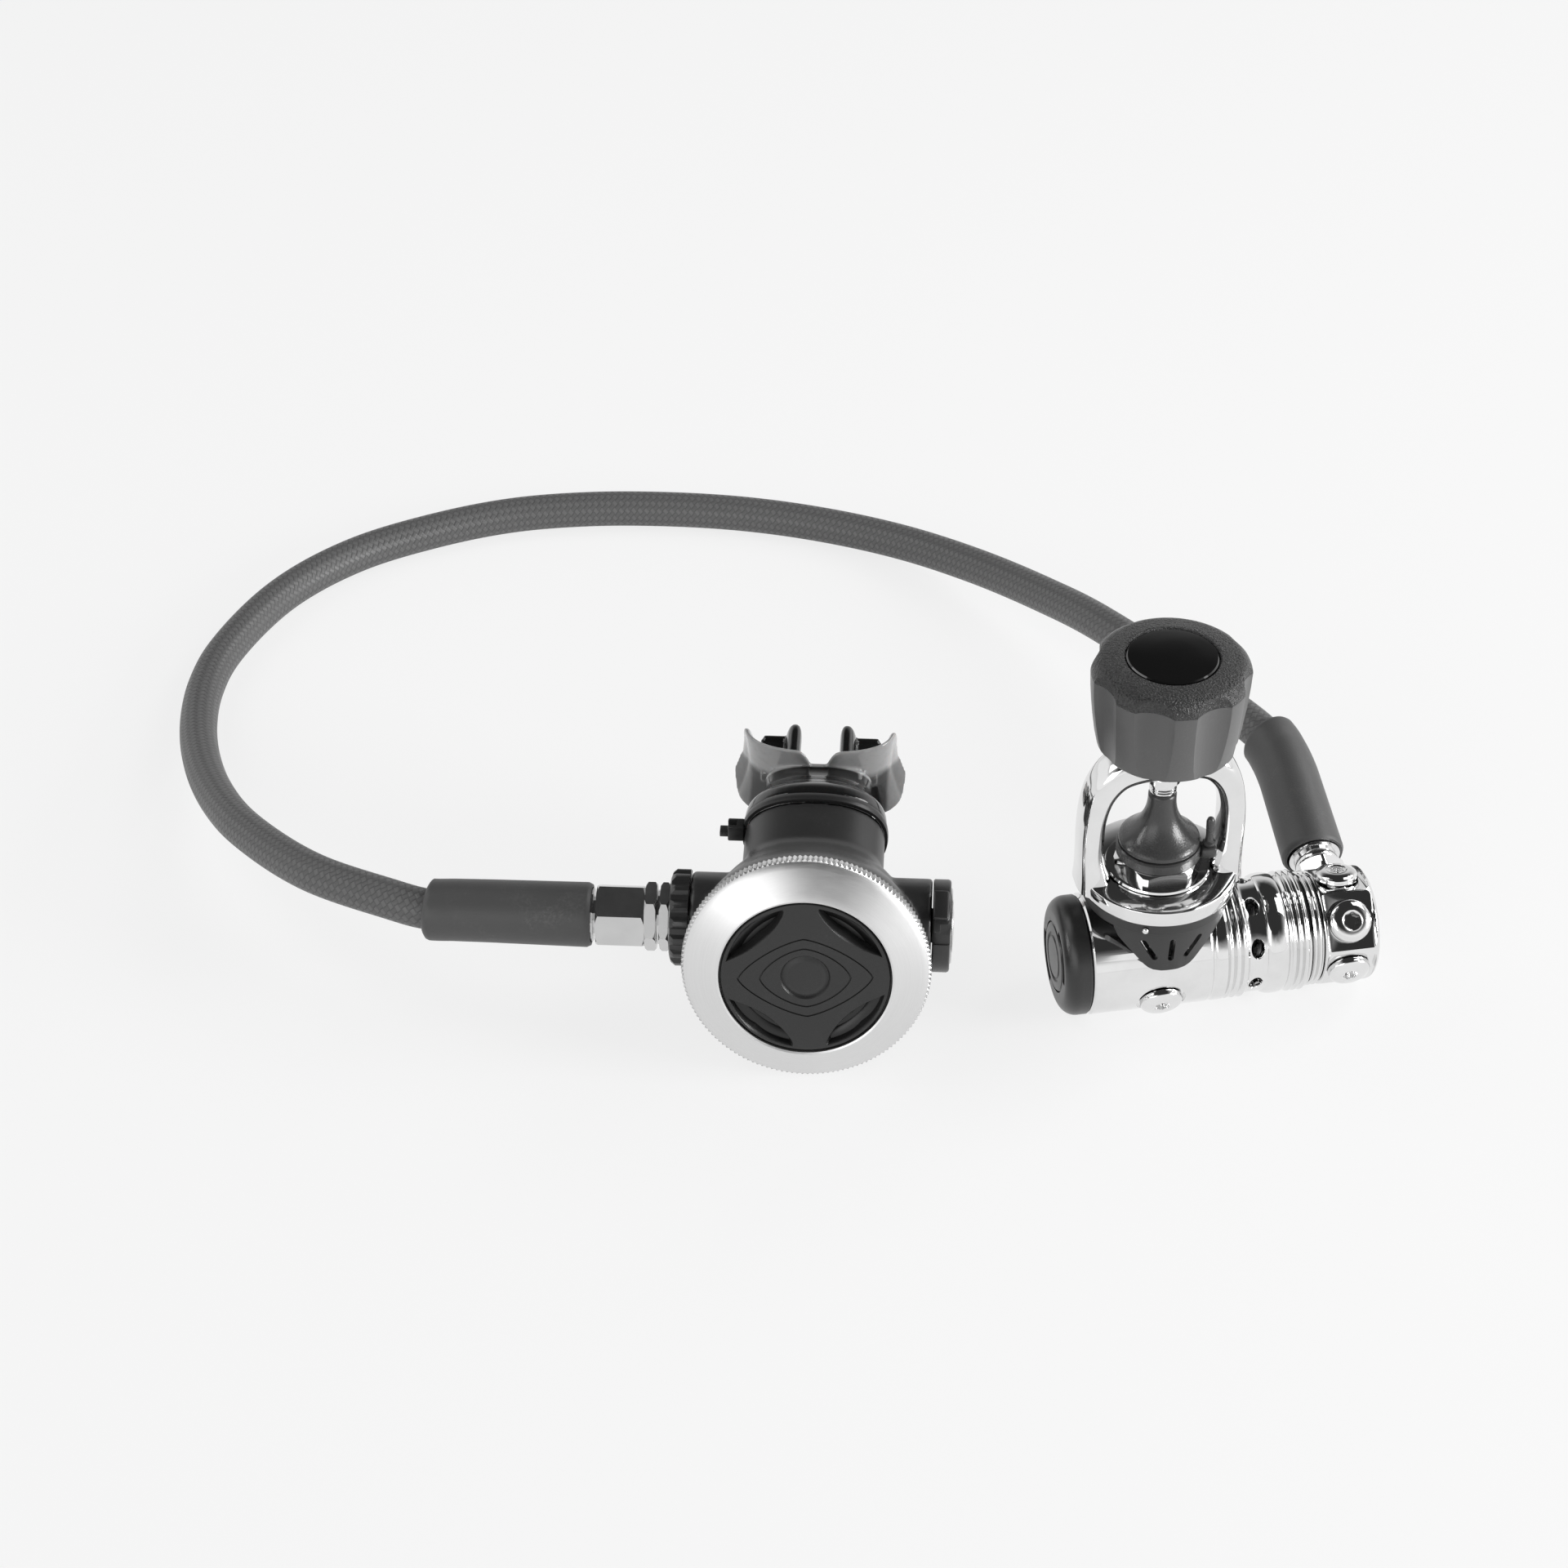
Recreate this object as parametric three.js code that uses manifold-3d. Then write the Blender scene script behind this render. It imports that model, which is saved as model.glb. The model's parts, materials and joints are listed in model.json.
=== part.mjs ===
// Scuba regulator set: a yoke first stage with a swivel turret, one low-pressure hose
// and a demand second stage with a mouthpiece. Millimetres, +Z up, resting on z = 0.
// Each sub-part is one closed mesh; the two stages are groups with frames of their own.
import * as THREE from 'three';
import { mergeVertices } from 'three/addons/utils/BufferGeometryUtils.js';
import Module from 'manifold-3d';

const wasm = await Module();
wasm.setup();

// ---------------------------------------------------------------- driving sizes
const GAP = 0.3;                 // clearance between pieces that touch
const DEG = Math.PI / 180;
const FINE = 20;                 // facets round the large, the middling and the small turned pieces
const MEDIUM = 16;
const SMALL = 10;

// Where the two stages stand. Both rest on z = 0.
const FIRST_STAGE_AT = [48.22, -16.22];
const FIRST_STAGE_YAW = 10;
const SECOND_STAGE_AT = [-52.73, -26.18];
const SECOND_STAGE_YAW = -2.9;
const SECOND_STAGE_TILT = -9.5;  // the cover faces a little upwards

// First stage body. Its axis is local x, and the yoke screw stands on local z.
const BODY_R = 18;
const BODY_LEFT = -21.5;
const BODY_RIGHT = 44.2;
const CHAMBER_R = 14;
const CHAMBER_LEFT = 15;
const STEM_R = 4.2;
const SEAT_R = 4.6;
const GROOVE_DEPTH = 0.9;
const GROOVE_WIDTH = 1.1;
const GROOVES = [15, 22, 24, 40.6, 42.6];
const WAIST = [25.6, 30.6];
const WAIST_R = 17.1;
const AMBIENT_HOLES = 8;
const BOSS_R = 15.5;
const BOSS_TOP = 26;
const CAP_LENGTH = 7.5;
const CAP_EDGE = 4.5;
const BADGE_R = 10.4;

// Yoke, screw and knob.
const YOKE_RING_R = 23;
const YOKE_RING_THICK = 4.9;
const YOKE_DEPTH = 12.6;
const YOKE_WIDEST = 24.6;        // half width of the loop at mid height
const YOKE_NECK = 19;            // half width of the loop below the knob
const YOKE_ARM = 7.4;
const YOKE_TOP = 75;
const BRIDGE_THICK = 10.5;
const RETAINER_NECK_R = 12.4;
const RETAINER_AF = 23.5;
const RETAINER_HEX = 3.6;
const THREAD_R = 9;
const SCREW_R = 5;
const SCREW_TIP_R = 4;
const KNOB_R = 22.7;
const KNOB_FOOT_R = 20;
const KNOB_SHOULDER = 24.3;
const KNOB_ROUND = 4.6;
const KNOB_HEIGHT = 30;
const KNOB_FLUTES = 8;
const FIRST_FLUTE = 18.5;
const KNOB_BADGE_R = 13;
const DUST_CAP_TOP_R = 4.1;
const DUST_CAP_R = 11.8;
const DUST_CAP_HEIGHT = 17.6;

// Turret and its ports.
const NECK_LENGTH = 3.6;
const TURRET_R = 17;
const TURRET_LENGTH = 17;
const TURRET_FLAT = 14.7;        // distance of the milled port flats from the axis
const HUB_R = 11;
const PORT_ANGLES = [-19, 43, 105];
const HOSE_PORT_ANGLE = 167;
const PORT_R = 4.3;
const PLUG_HEAD_R = 6.3;
const PLUG_HEAD = 3;
const HIGH_ANGLES = [-24, 204];
const HIGH_PLUG_X = -0.7;
const HIGH_SEAT = 16.9;            // distance of the high-pressure spot faces from the axis

// Hose, its ferrules and its rubber sleeves.
const HOSE_R = 6;
const FERRULE_R = 7.8;
const FERRULE_LENGTH = 22;
const SLEEVE_R = 9.5;
const SLEEVE_LENGTH = 48;
const FITTING_LENGTH = 10;       // port face to sleeve on the first stage

// Second stage case. Local x is the valve axis, local y runs back to the diver.
const COVER_R = 36;
const INLET_HEIGHT = COVER_R - 0.62;  // height of the inlet axis, with the cover's rim on the ground
const COVER_DROP = -3;           // the cover's axis below the valve axis
const COVER_OPENING_R = 24.8;
const COVER_BACK = -18.7;
const COVER_FRONT = -27.2;
const FLANGE_R = 34;
const CASE_WALL = 2.4;
const BARREL_R = 13.5;
const BARREL_LEFT = -34.4;
const BARREL_RIGHT = 35.4;
const TUBE_R = 8;
const TUBE_BORE_R = 6;
const PURGE_TRAVEL = 4;
const PLATE_R = 19;
const OUTLET_RX = 20.5;
const OUTLET_RZ = 14;
const OUTLET_LENGTH = 15;
const OUTLET_LIFT = 12;          // the outlet points up from the case by this angle
const NUT_AF = 17;
const NUT_LENGTH = 14.2;
const HEX_RING_WALL = 0.8;       // wall of the inlet's hexagonal rings at their flats
const HEX_RING_AF = 2 * (TUBE_R + HEX_RING_WALL);

// Hose centre line from the second stage's ferrule to the first stage's, in the set's
// own frame. The first and last three points lie in the sleeves.
const HOSE_ROUTE = [
  [-137.6, -21.9, 35.4], [-146.3, -21.4, 35.4], [-155.3, -21, 35.4], [-164.3, -20.5, 35.4],
  [-176.5, -15, 35], [-200, 0.5, 32], [-223.5, 30.5, 24], [-234.5, 52, 18.5],
  [-243, 77.5, 12.5], [-248, 104, 8], [-248.5, 127.5, 6], [-244.5, 147, 6],
  [-228.5, 180, 6], [-207, 202.5, 6], [-182, 217, 6], [-155, 227, 6],
  [-128, 231, 6], [-100.5, 231, 6], [-73.5, 228, 6], [-47, 221.5, 6],
  [-20.5, 209, 7.5], [4, 189, 11.5], [26.5, 161.5, 18.5], [43.5, 135, 25.5],
  [88.6, 64.2, 33.9], [92.2, 56.1, 32.3], [94.2, 48.6, 30.7], [95.1, 43.8, 29.5],
  [95.9, 39, 28.4],
];

// ---------------------------------------------------------------- small tools
const at = (x, y, z) => new THREE.Vector3(x, y, z);

const MIRROR = { color: 0xd8d8d8, roughness: 0.12, metalness: 1 };
const SATIN = { color: 0xbfc0c0, roughness: 0.38, metalness: 1 };
const BLACK_PLASTIC = { color: 0x1b1b1c, roughness: 0.5, metalness: 0 };
const GLOSS_BLACK = { color: 0x0b0b0c, roughness: 0.12, metalness: 0 };
const BLACK_RUBBER = { color: 0x2c2d2e, roughness: 0.75, metalness: 0 };
const GREY_HOSE = { color: 0x6b6c6d, roughness: 0.6, metalness: 0 };
const SILICONE = { color: 0x77797b, roughness: 0.35, metalness: 0 };
const BRASS = { color: 0xb08d48, roughness: 0.35, metalness: 1 };
const STEEL = { color: 0xa6a8aa, roughness: 0.3, metalness: 1 };

function mesh(parent, name, geometry, finish) {
  const piece = new THREE.Mesh(geometry, new THREE.MeshStandardMaterial(finish));
  piece.name = name;
  parent.add(piece);
  return piece;
}

// Signed volume, to tell which way a closed mesh's faces point.
function signedVolume(position, index) {
  const [a, b, c] = [at(0, 0, 0), at(0, 0, 0), at(0, 0, 0)];
  let sum = 0;
  for (let i = 0; i < index.count; i += 3) {
    a.fromBufferAttribute(position, index.getX(i));
    b.fromBufferAttribute(position, index.getX(i + 1));
    c.fromBufferAttribute(position, index.getX(i + 2));
    sum += a.dot(b.cross(c));
  }
  return sum / 6;
}

// One watertight skin with shared corners, no slivers and its faces outwards.
function closed(geometry) {
  const bare = geometry.index ? geometry.toNonIndexed() : geometry.clone();
  bare.deleteAttribute('normal');
  bare.deleteAttribute('uv');
  const merged = mergeVertices(bare, 1e-4);
  const source = merged.index;
  const kept = [];
  for (let i = 0; i < source.count; i += 3) {
    const [a, b, c] = [source.getX(i), source.getX(i + 1), source.getX(i + 2)];
    if (a !== b && b !== c && c !== a) kept.push(a, b, c);
  }
  merged.setIndex(kept);
  if (signedVolume(merged.attributes.position, merged.index) < 0) {
    for (let i = 0; i < kept.length; i += 3) [kept[i], kept[i + 1]] = [kept[i + 1], kept[i]];
    merged.setIndex(kept);
  }
  return merged;
}

function solid(geometry) {
  const skin = closed(geometry);
  return new wasm.Manifold(new wasm.Mesh({
    numProp: 3,
    vertProperties: new Float32Array(skin.attributes.position.array),
    triVerts: new Uint32Array(skin.index.array),
  }));
}

function geometryOf(body) {
  const { vertProperties, triVerts } = body.getMesh();
  const geometry = new THREE.BufferGeometry();
  geometry.setAttribute('position', new THREE.BufferAttribute(vertProperties, 3));
  geometry.setIndex(new THREE.BufferAttribute(triVerts, 1));
  return geometry;
}

const cut = (body, ...tools) => tools.reduce((left, tool) => left.subtract(solid(tool)), body);
const join = (body, ...more) => more.reduce((sum, piece) => sum.add(solid(piece)), body);

// Turned pieces: a profile of [radius, distance along the axis] about x, y or z. Those
// about x have a facet, not an edge, facing down.
function turned(axis, profile, segments = MEDIUM) {
  const outline = profile.map(([r, t]) => new THREE.Vector2(r, t));
  outline.push(outline[0].clone());
  const geometry = new THREE.LatheGeometry(outline, segments);
  if (axis === 'x') geometry.rotateZ(-Math.PI / 2).rotateX(Math.PI / segments);
  if (axis === 'z') geometry.rotateX(Math.PI / 2);
  return closed(geometry);
}

const rod = (axis, r, from, to, segments = MEDIUM) =>
  turned(axis, [[0, from], [r, from], [r, to], [0, to]], segments);

const pipe = (axis, bore, r, from, to, segments = MEDIUM) =>
  turned(axis, [[bore, from], [r, from], [r, to], [bore, to]], segments);

function box(x0, x1, y0, y1, z0, z1) {
  const geometry = new THREE.BoxGeometry(x1 - x0, y1 - y0, z1 - z0);
  return geometry.translate((x0 + x1) / 2, (y0 + y1) / 2, (z0 + z1) / 2);
}

// Points of an arc in profile space, angles in degrees.
function arc(cx, cy, rx, ry, from, to, steps) {
  return Array.from({ length: steps + 1 }, (_, i) => {
    const angle = (from + (to - from) * i / steps) * DEG;
    return [cx + rx * Math.cos(angle), cy + ry * Math.sin(angle)];
  });
}

// A straight bar with an outline in two axes: 'z' extrudes upwards from z0 to z1,
// 'y' takes an x-z outline and extrudes along y, 'x' takes a y-z outline along x.
function prism(axis, outline, from, to, bevel = 0) {
  const shape = new THREE.Shape(outline.map(([a, b]) => new THREE.Vector2(a, b)));
  const geometry = new THREE.ExtrudeGeometry(shape, {
    depth: to - from - 2 * bevel, bevelEnabled: bevel > 0, bevelThickness: bevel,
    bevelSize: bevel, bevelOffset: -bevel, bevelSegments: 1, curveSegments: 6,
  });
  geometry.translate(0, 0, from + bevel);
  if (axis === 'y') geometry.rotateX(Math.PI / 2).scale(1, -1, 1);
  if (axis === 'x') geometry.rotateY(Math.PI / 2).rotateX(Math.PI / 2);
  return closed(geometry);
}

// Hexagon across flats, its corners turned off at a larger radius.
function hexBar(axis, acrossFlats, from, to, turn = 0) {
  const outline = arc(0, 0, 1, 1, turn, turn + 300, 5)
    .map(([a, b]) => [a * acrossFlats / Math.sqrt(3), b * acrossFlats / Math.sqrt(3)]);
  return prism(axis, outline, from, to);
}

// A skin through rings of points, closed at both ends.
function lofted(rings) {
  const size = rings[0].length;
  const points = rings.flat();
  const index = [];
  for (let ring = 0; ring < rings.length - 1; ring += 1) {
    for (let i = 0; i < size; i += 1) {
      const [a, b] = [ring * size + i, ring * size + (i + 1) % size];
      index.push(a, b, a + size, b, b + size, a + size);
    }
  }
  for (const [ring, flip] of [[0, true], [rings.length - 1, false]]) {
    const middle = points.length;
    points.push(rings[ring].reduce((sum, p) => sum.add(p), at(0, 0, 0)).divideScalar(size));
    for (let i = 0; i < size; i += 1) {
      const [a, b] = [ring * size + i, ring * size + (i + 1) % size];
      index.push(middle, flip ? b : a, flip ? a : b);
    }
  }
  const geometry = new THREE.BufferGeometry().setFromPoints(points);
  geometry.setIndex(index);
  return closed(geometry);
}

// An oval ring across the y axis; power 2 is an ellipse, more is squarer.
function oval(y, middle, rx, rz, power = 2, count = FINE) {
  return Array.from({ length: count }, (_, i) => {
    const angle = 2 * Math.PI * i / count;
    const [c, s] = [Math.cos(angle), Math.sin(angle)];
    const bend = (v) => Math.sign(v) * Math.abs(v) ** (2 / power);
    return at(rx * bend(c), y, middle + rz * bend(s));
  });
}

// A round wire wound about x, with ends ground square by short straight runs.
function helix(radius, wire, from, to, turns, sides = 4, steps = 8) {
  const count = turns * steps;
  const rings = [];
  for (let i = 0; i <= count; i += 1) {
    const angle = 2 * Math.PI * i / steps;
    const x = from + wire + (to - from - 2 * wire) * i / count;
    rings.push(Array.from({ length: sides }, (_, k) => {
      const a = 2 * Math.PI * k / sides;
      const r = radius + wire * Math.cos(a);
      return at(x + wire * Math.sin(a), r * Math.cos(angle), r * Math.sin(angle));
    }));
  }
  return lofted(rings);
}

// Turns a tool built along z to a port angle round the body axis: 0 is the front, 90 the top.
const radial = (geometry, x, angle) => geometry.rotateX((90 - angle) * DEG).translate(x, 0, 0);

// Mirrors a left half outline, listed bottom to top, into a whole one.
const mirrored = (half) => [...half, ...half.map(([x, z]) => [-x, z]).reverse()];

const smooth = (points, steps) => new THREE.SplineCurve(points.map(([a, b]) => new THREE.Vector2(a, b)))
  .getPoints(steps).map((p) => [p.x, p.y]);

// ---------------------------------------------------------------- first stage
const regulator = new THREE.Group();
const first = new THREE.Group();
first.position.set(FIRST_STAGE_AT[0], FIRST_STAGE_AT[1], BODY_R * Math.cos(Math.PI / FINE));
first.rotation.z = FIRST_STAGE_YAW * DEG;
regulator.add(first);

const NECK_LEFT = BODY_RIGHT + GAP;
const NECK_RIGHT = NECK_LEFT + NECK_LENGTH;
const TURRET_LEFT = NECK_RIGHT + GAP;
const TURRET_RIGHT = TURRET_LEFT + TURRET_LENGTH;
const PORT_X = TURRET_LEFT + 0.48 * TURRET_LENGTH;
const YOKE_BASE = BOSS_TOP + GAP;
const YOKE_RING_TOP = YOKE_BASE + YOKE_RING_THICK;
const RETAINER_TOP = YOKE_RING_TOP + GAP + 0.9 + RETAINER_HEX;
const CAP_RIGHT = BODY_LEFT - GAP;
const SPIGOT_R = 12.5;
const SPIGOT_LENGTH = 3.8;

function groove(x) {
  const [half, floor] = [GROOVE_WIDTH / 2, BODY_R - GROOVE_DEPTH];
  return [[BODY_R, x - half], [floor, x], [BODY_R, x + half]];
}

function bodyShell() {
  const before = GROOVES.filter((x) => x < WAIST[0]).flatMap(groove);
  const after = GROOVES.filter((x) => x > WAIST[1]).flatMap(groove);
  const profile = [
    [SEAT_R, BODY_LEFT + SPIGOT_LENGTH + GAP], [SPIGOT_R + GAP, BODY_LEFT + SPIGOT_LENGTH + GAP],
    [SPIGOT_R + GAP, BODY_LEFT], [BODY_R - 0.8, BODY_LEFT], [BODY_R, BODY_LEFT + 0.8], ...before,
    [BODY_R, WAIST[0]], [WAIST_R, WAIST[0] + 0.7], [WAIST_R, WAIST[1] - 0.7],
    [BODY_R - 0.3, WAIST[1]], [BODY_R, WAIST[1] + 2.6], ...after,
    [BODY_R, BODY_RIGHT - 0.3], [BODY_R - 0.3, BODY_RIGHT], [CHAMBER_R, BODY_RIGHT],
    [CHAMBER_R, CHAMBER_LEFT], [SEAT_R, CHAMBER_LEFT],
  ];
  let body = join(solid(turned('x', profile, FINE)), rod('z', BOSS_R, BODY_R / 2, BOSS_TOP, FINE));
  body = cut(body, rod('z', THREAD_R + GAP, 12, BOSS_TOP + 1), rod('z', 3, 0, 13, SMALL));
  for (let i = 0; i < AMBIENT_HOLES; i += 1) {
    const hole = rod('z', 2, CHAMBER_R - 3, BODY_R + 2, SMALL).scale(1, 1.7, 1);
    body = cut(body, radial(hole, (WAIST[0] + WAIST[1]) / 2, 360 * i / AMBIENT_HOLES + 25));
  }
  for (const angle of HIGH_ANGLES) {
    const spotFace = rod('z', PLUG_HEAD_R + 0.9, HIGH_SEAT, BODY_R + 4);
    const port = rod('z', PORT_R, 9, HIGH_SEAT + 1, SMALL);
    body = cut(body, radial(spotFace, HIGH_PLUG_X, angle), radial(port, HIGH_PLUG_X, angle));
  }
  return geometryOf(body);
}

function endCap() {
  const left = CAP_RIGHT - CAP_LENGTH;
  const r = BODY_R - 0.2;
  return turned('x', [
    [0, CAP_RIGHT + SPIGOT_LENGTH], [SPIGOT_R, CAP_RIGHT + SPIGOT_LENGTH], [SPIGOT_R, CAP_RIGHT],
    [r, CAP_RIGHT], ...arc(r - CAP_EDGE, left + CAP_EDGE, CAP_EDGE, CAP_EDGE, 0, -90, 4),
    [BADGE_R + GAP, left], [BADGE_R + GAP, left + 1.6], [0, left + 1.6],
  ], FINE);
}

function endCapBadge() {
  const back = CAP_RIGHT - CAP_LENGTH + 1.6 - GAP;
  return turned('x', [
    [0, back], [BADGE_R, back], [BADGE_R, back - 1.3], [BADGE_R - 0.6, back - 1.7], [0, back - 1.7],
  ], MEDIUM);
}

mesh(first, 'body_shell', bodyShell(), MIRROR);
mesh(first, 'end_cap', endCap(), BLACK_PLASTIC);
mesh(first, 'end_cap_badge', endCapBadge(), BLACK_PLASTIC);

// High-pressure seat, hollow piston and main spring. At rest the piston stands open by
// its travel; under pressure it closes to the left.
const PISTON_TRAVEL = 1.5;
const SEAT_FACE = -10;
const HEAD_LEFT = 33;
const HEAD_RIGHT = 38;
const STEM_BORE = 1.6;
const SEAT_BACK = BODY_LEFT + SPIGOT_LENGTH + 2 * GAP;
mesh(first, 'piston_seat', pipe('x', 1.2, SEAT_R - GAP, SEAT_BACK, SEAT_FACE, SMALL), BLACK_PLASTIC);
mesh(first, 'piston', turned('x', [
  [STEM_BORE, SEAT_FACE + PISTON_TRAVEL + GAP], [STEM_R, SEAT_FACE + PISTON_TRAVEL + GAP],
  [STEM_R, HEAD_LEFT], [CHAMBER_R - 0.4, HEAD_LEFT], [CHAMBER_R - 0.4, HEAD_LEFT + 1.6],
  [CHAMBER_R - 1.6, HEAD_LEFT + 1.6], [CHAMBER_R - 1.6, HEAD_RIGHT - 1.6],
  [CHAMBER_R - 0.4, HEAD_RIGHT - 1.6], [CHAMBER_R - 0.4, HEAD_RIGHT], [STEM_BORE, HEAD_RIGHT],
], MEDIUM), BRASS);
mesh(first, 'main_spring', helix(9, 1.1, CHAMBER_LEFT + GAP, HEAD_LEFT - PISTON_TRAVEL - GAP, 5), STEEL);

// Black shroud: a collar under the yoke ring and a slotted bib on the front and back.
const COLLAR_R = 21.6;
const BIB_THICK = 1.8;
function bodyShroud() {
  const skin = turned('z', [
    [COLLAR_R - 1.8 - BIB_THICK, 6], [COLLAR_R - 1.8, 6], [COLLAR_R, BOSS_TOP - 3],
    [COLLAR_R - BIB_THICK, BOSS_TOP - 3],
  ], FINE);
  const bib = mirrored([[-15.4, 30], [-14.6, 20], [-5.6, 8.4], [-4.6, 7.6], [0, 7.2]]);
  let shroud = solid(skin).intersect(solid(prism('y', bib, -30, 30)));
  const collar = pipe('z', BOSS_R + GAP, COLLAR_R, BOSS_TOP - 4.6, BOSS_TOP, FINE);
  shroud = cut(join(shroud, collar), rod('x', BODY_R + GAP, -30, 30, FINE));
  shroud = cut(shroud, rod('z', BOSS_R + GAP, 0, BOSS_TOP + 1, FINE));
  for (const [x, lean] of [[-6.4, 28], [0, 0], [6.4, -28]]) {
    const slot = box(-0.8, 0.8, -30, 30, -4.2, 4.2).rotateY(-lean * DEG).translate(x, 0, 15.4);
    shroud = cut(shroud, slot);
  }
  return geometryOf(shroud);
}
mesh(first, 'body_shroud', bodyShroud(), BLACK_PLASTIC);
const stud = rod('z', 1, COLLAR_R + GAP, COLLAR_R + 1.1, SMALL);
stud.rotateX(90 * DEG).rotateZ(-22 * DEG).translate(0, 0, BOSS_TOP - 2.3);
mesh(first, 'shroud_stud', stud, MIRROR);

// Yoke: a flat ring on the boss and a loop that carries the screw in its bridge.
const WINDOW_TOP = YOKE_TOP - BRIDGE_THICK;
function yoke() {
  const middle = (YOKE_BASE + YOKE_TOP) / 2 - 3;
  const outer = smooth([
    [-YOKE_RING_R + 0.5, YOKE_BASE + 1], [-YOKE_WIDEST + 0.4, middle - 10], [-YOKE_WIDEST, middle],
    [-YOKE_WIDEST + 1.4, middle + 11], [-YOKE_NECK - 1.2, YOKE_TOP - 6], [-YOKE_NECK + 5, YOKE_TOP],
  ], SMALL);
  const inner = smooth([
    [-YOKE_WIDEST + YOKE_ARM + 0.8, YOKE_BASE + 1], [-YOKE_WIDEST + YOKE_ARM, middle],
    [-YOKE_WIDEST + YOKE_ARM + 1.8, WINDOW_TOP - 5], [-YOKE_WIDEST + YOKE_ARM + 7.5, WINDOW_TOP],
  ], 9);
  const right = ([x, z]) => [-x, z];
  const outline = [...outer, ...outer.map(right).reverse(), ...inner.map(right), ...inner.slice().reverse()];
  let body = solid(prism('y', outline, -YOKE_DEPTH / 2, YOKE_DEPTH / 2, 1.2));
  body = join(body, rod('z', YOKE_RING_R, YOKE_BASE, YOKE_RING_TOP, FINE));
  body = cut(body, rod('z', RETAINER_NECK_R + GAP, 0, YOKE_RING_TOP + 1, FINE));
  return geometryOf(cut(body, rod('z', SCREW_R + GAP, YOKE_TOP - 15, YOKE_TOP + 2)));
}
mesh(first, 'yoke', yoke(), MIRROR);

const NOZZLE_R = 7;
const NOZZLE = 2.6;
const FILTER_R = 3.8;
function yokeRetainer() {
  const flangeTop = YOKE_RING_TOP + GAP + 0.9;
  let nut = solid(turned('z', [
    [3, 13], [THREAD_R, 13], [THREAD_R, YOKE_BASE], [RETAINER_NECK_R, YOKE_BASE],
    [RETAINER_NECK_R, YOKE_RING_TOP + GAP], [15.3, YOKE_RING_TOP + GAP], [15.3, flangeTop - 0.3],
    [14.9, flangeTop], [NOZZLE_R, flangeTop], [NOZZLE_R, RETAINER_TOP + NOZZLE],
    [FILTER_R + GAP, RETAINER_TOP + NOZZLE], [FILTER_R + GAP, RETAINER_TOP - 2.6],
    [3, RETAINER_TOP - 2.6],
  ], MEDIUM));
  const hex = solid(hexBar('z', RETAINER_AF, flangeTop - 0.2, RETAINER_TOP, 0));
  const chamfered = hex.intersect(solid(rod('z', 12.5, 0, RETAINER_TOP + 1, FINE)));
  nut = nut.add(chamfered);
  const filterBore = rod('z', FILTER_R + GAP, RETAINER_TOP - 2.6, 60, MEDIUM);
  return geometryOf(cut(nut, rod('z', 3, 0, 60, MEDIUM), filterBore));
}
mesh(first, 'yoke_retainer', yokeRetainer(), MIRROR);
const FILTER_TOP = RETAINER_TOP + NOZZLE - 1.2;
mesh(first, 'inlet_filter', rod('z', FILTER_R, RETAINER_TOP - 2.3, FILTER_TOP, SMALL), BRASS);
mesh(first, 'filter_clip', pipe('z', 2.6, FILTER_R, FILTER_TOP + GAP, FILTER_TOP + 1, SMALL), STEEL);

// Dust cap: a strap ring with a lug and a peg, and a concave cone plugged into it.
const STRAP_R = 12.4;
const STRAP_TOP = RETAINER_TOP + GAP + 3.7;
const DUST_BASE = STRAP_TOP + GAP;
const DUST_TOP = DUST_BASE + DUST_CAP_HEIGHT;
function dustCapStrap() {
  const ring = solid(pipe('z', 9.6, STRAP_R, RETAINER_TOP + GAP, STRAP_TOP, MEDIUM));
  return geometryOf(join(ring, box(11, 15.6, -7, -2.2, RETAINER_TOP + 0.6, STRAP_TOP)));
}
function dustCap() {
  const bore = NOZZLE_R + 0.4;
  const slope = Array.from({ length: 7 }, (_, i) => {
    const t = i / 6;
    return [DUST_CAP_TOP_R + (DUST_CAP_R - DUST_CAP_TOP_R) * (1 - t) ** 2.5,
      DUST_BASE + 0.9 + (DUST_CAP_HEIGHT - 1.2) * t];
  });
  return turned('z', [
    [bore, RETAINER_TOP + GAP], [9.3, RETAINER_TOP + GAP], [9.3, DUST_BASE], [DUST_CAP_R, DUST_BASE],
    ...slope, [DUST_CAP_TOP_R - 0.3, DUST_TOP], [0, DUST_TOP], [0, DUST_BASE + 1], [bore, DUST_BASE + 1],
  ], MEDIUM);
}
mesh(first, 'dust_cap_strap', dustCapStrap(), BLACK_RUBBER);
mesh(first, 'dust_cap', dustCap(), BLACK_RUBBER);
const pegFoot = STRAP_TOP + GAP;
const peg = turned('z', [
  [0, pegFoot], [1.9, pegFoot], [1.9, pegFoot + 1.2], [1.25, pegFoot + 1.4],
  [1.25, pegFoot + 8.6], [0.7, pegFoot + 9.6], [0, pegFoot + 9.8],
], SMALL);
mesh(first, 'strap_peg', peg.translate(13.6, -4.6, 0), BLACK_RUBBER);

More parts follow.
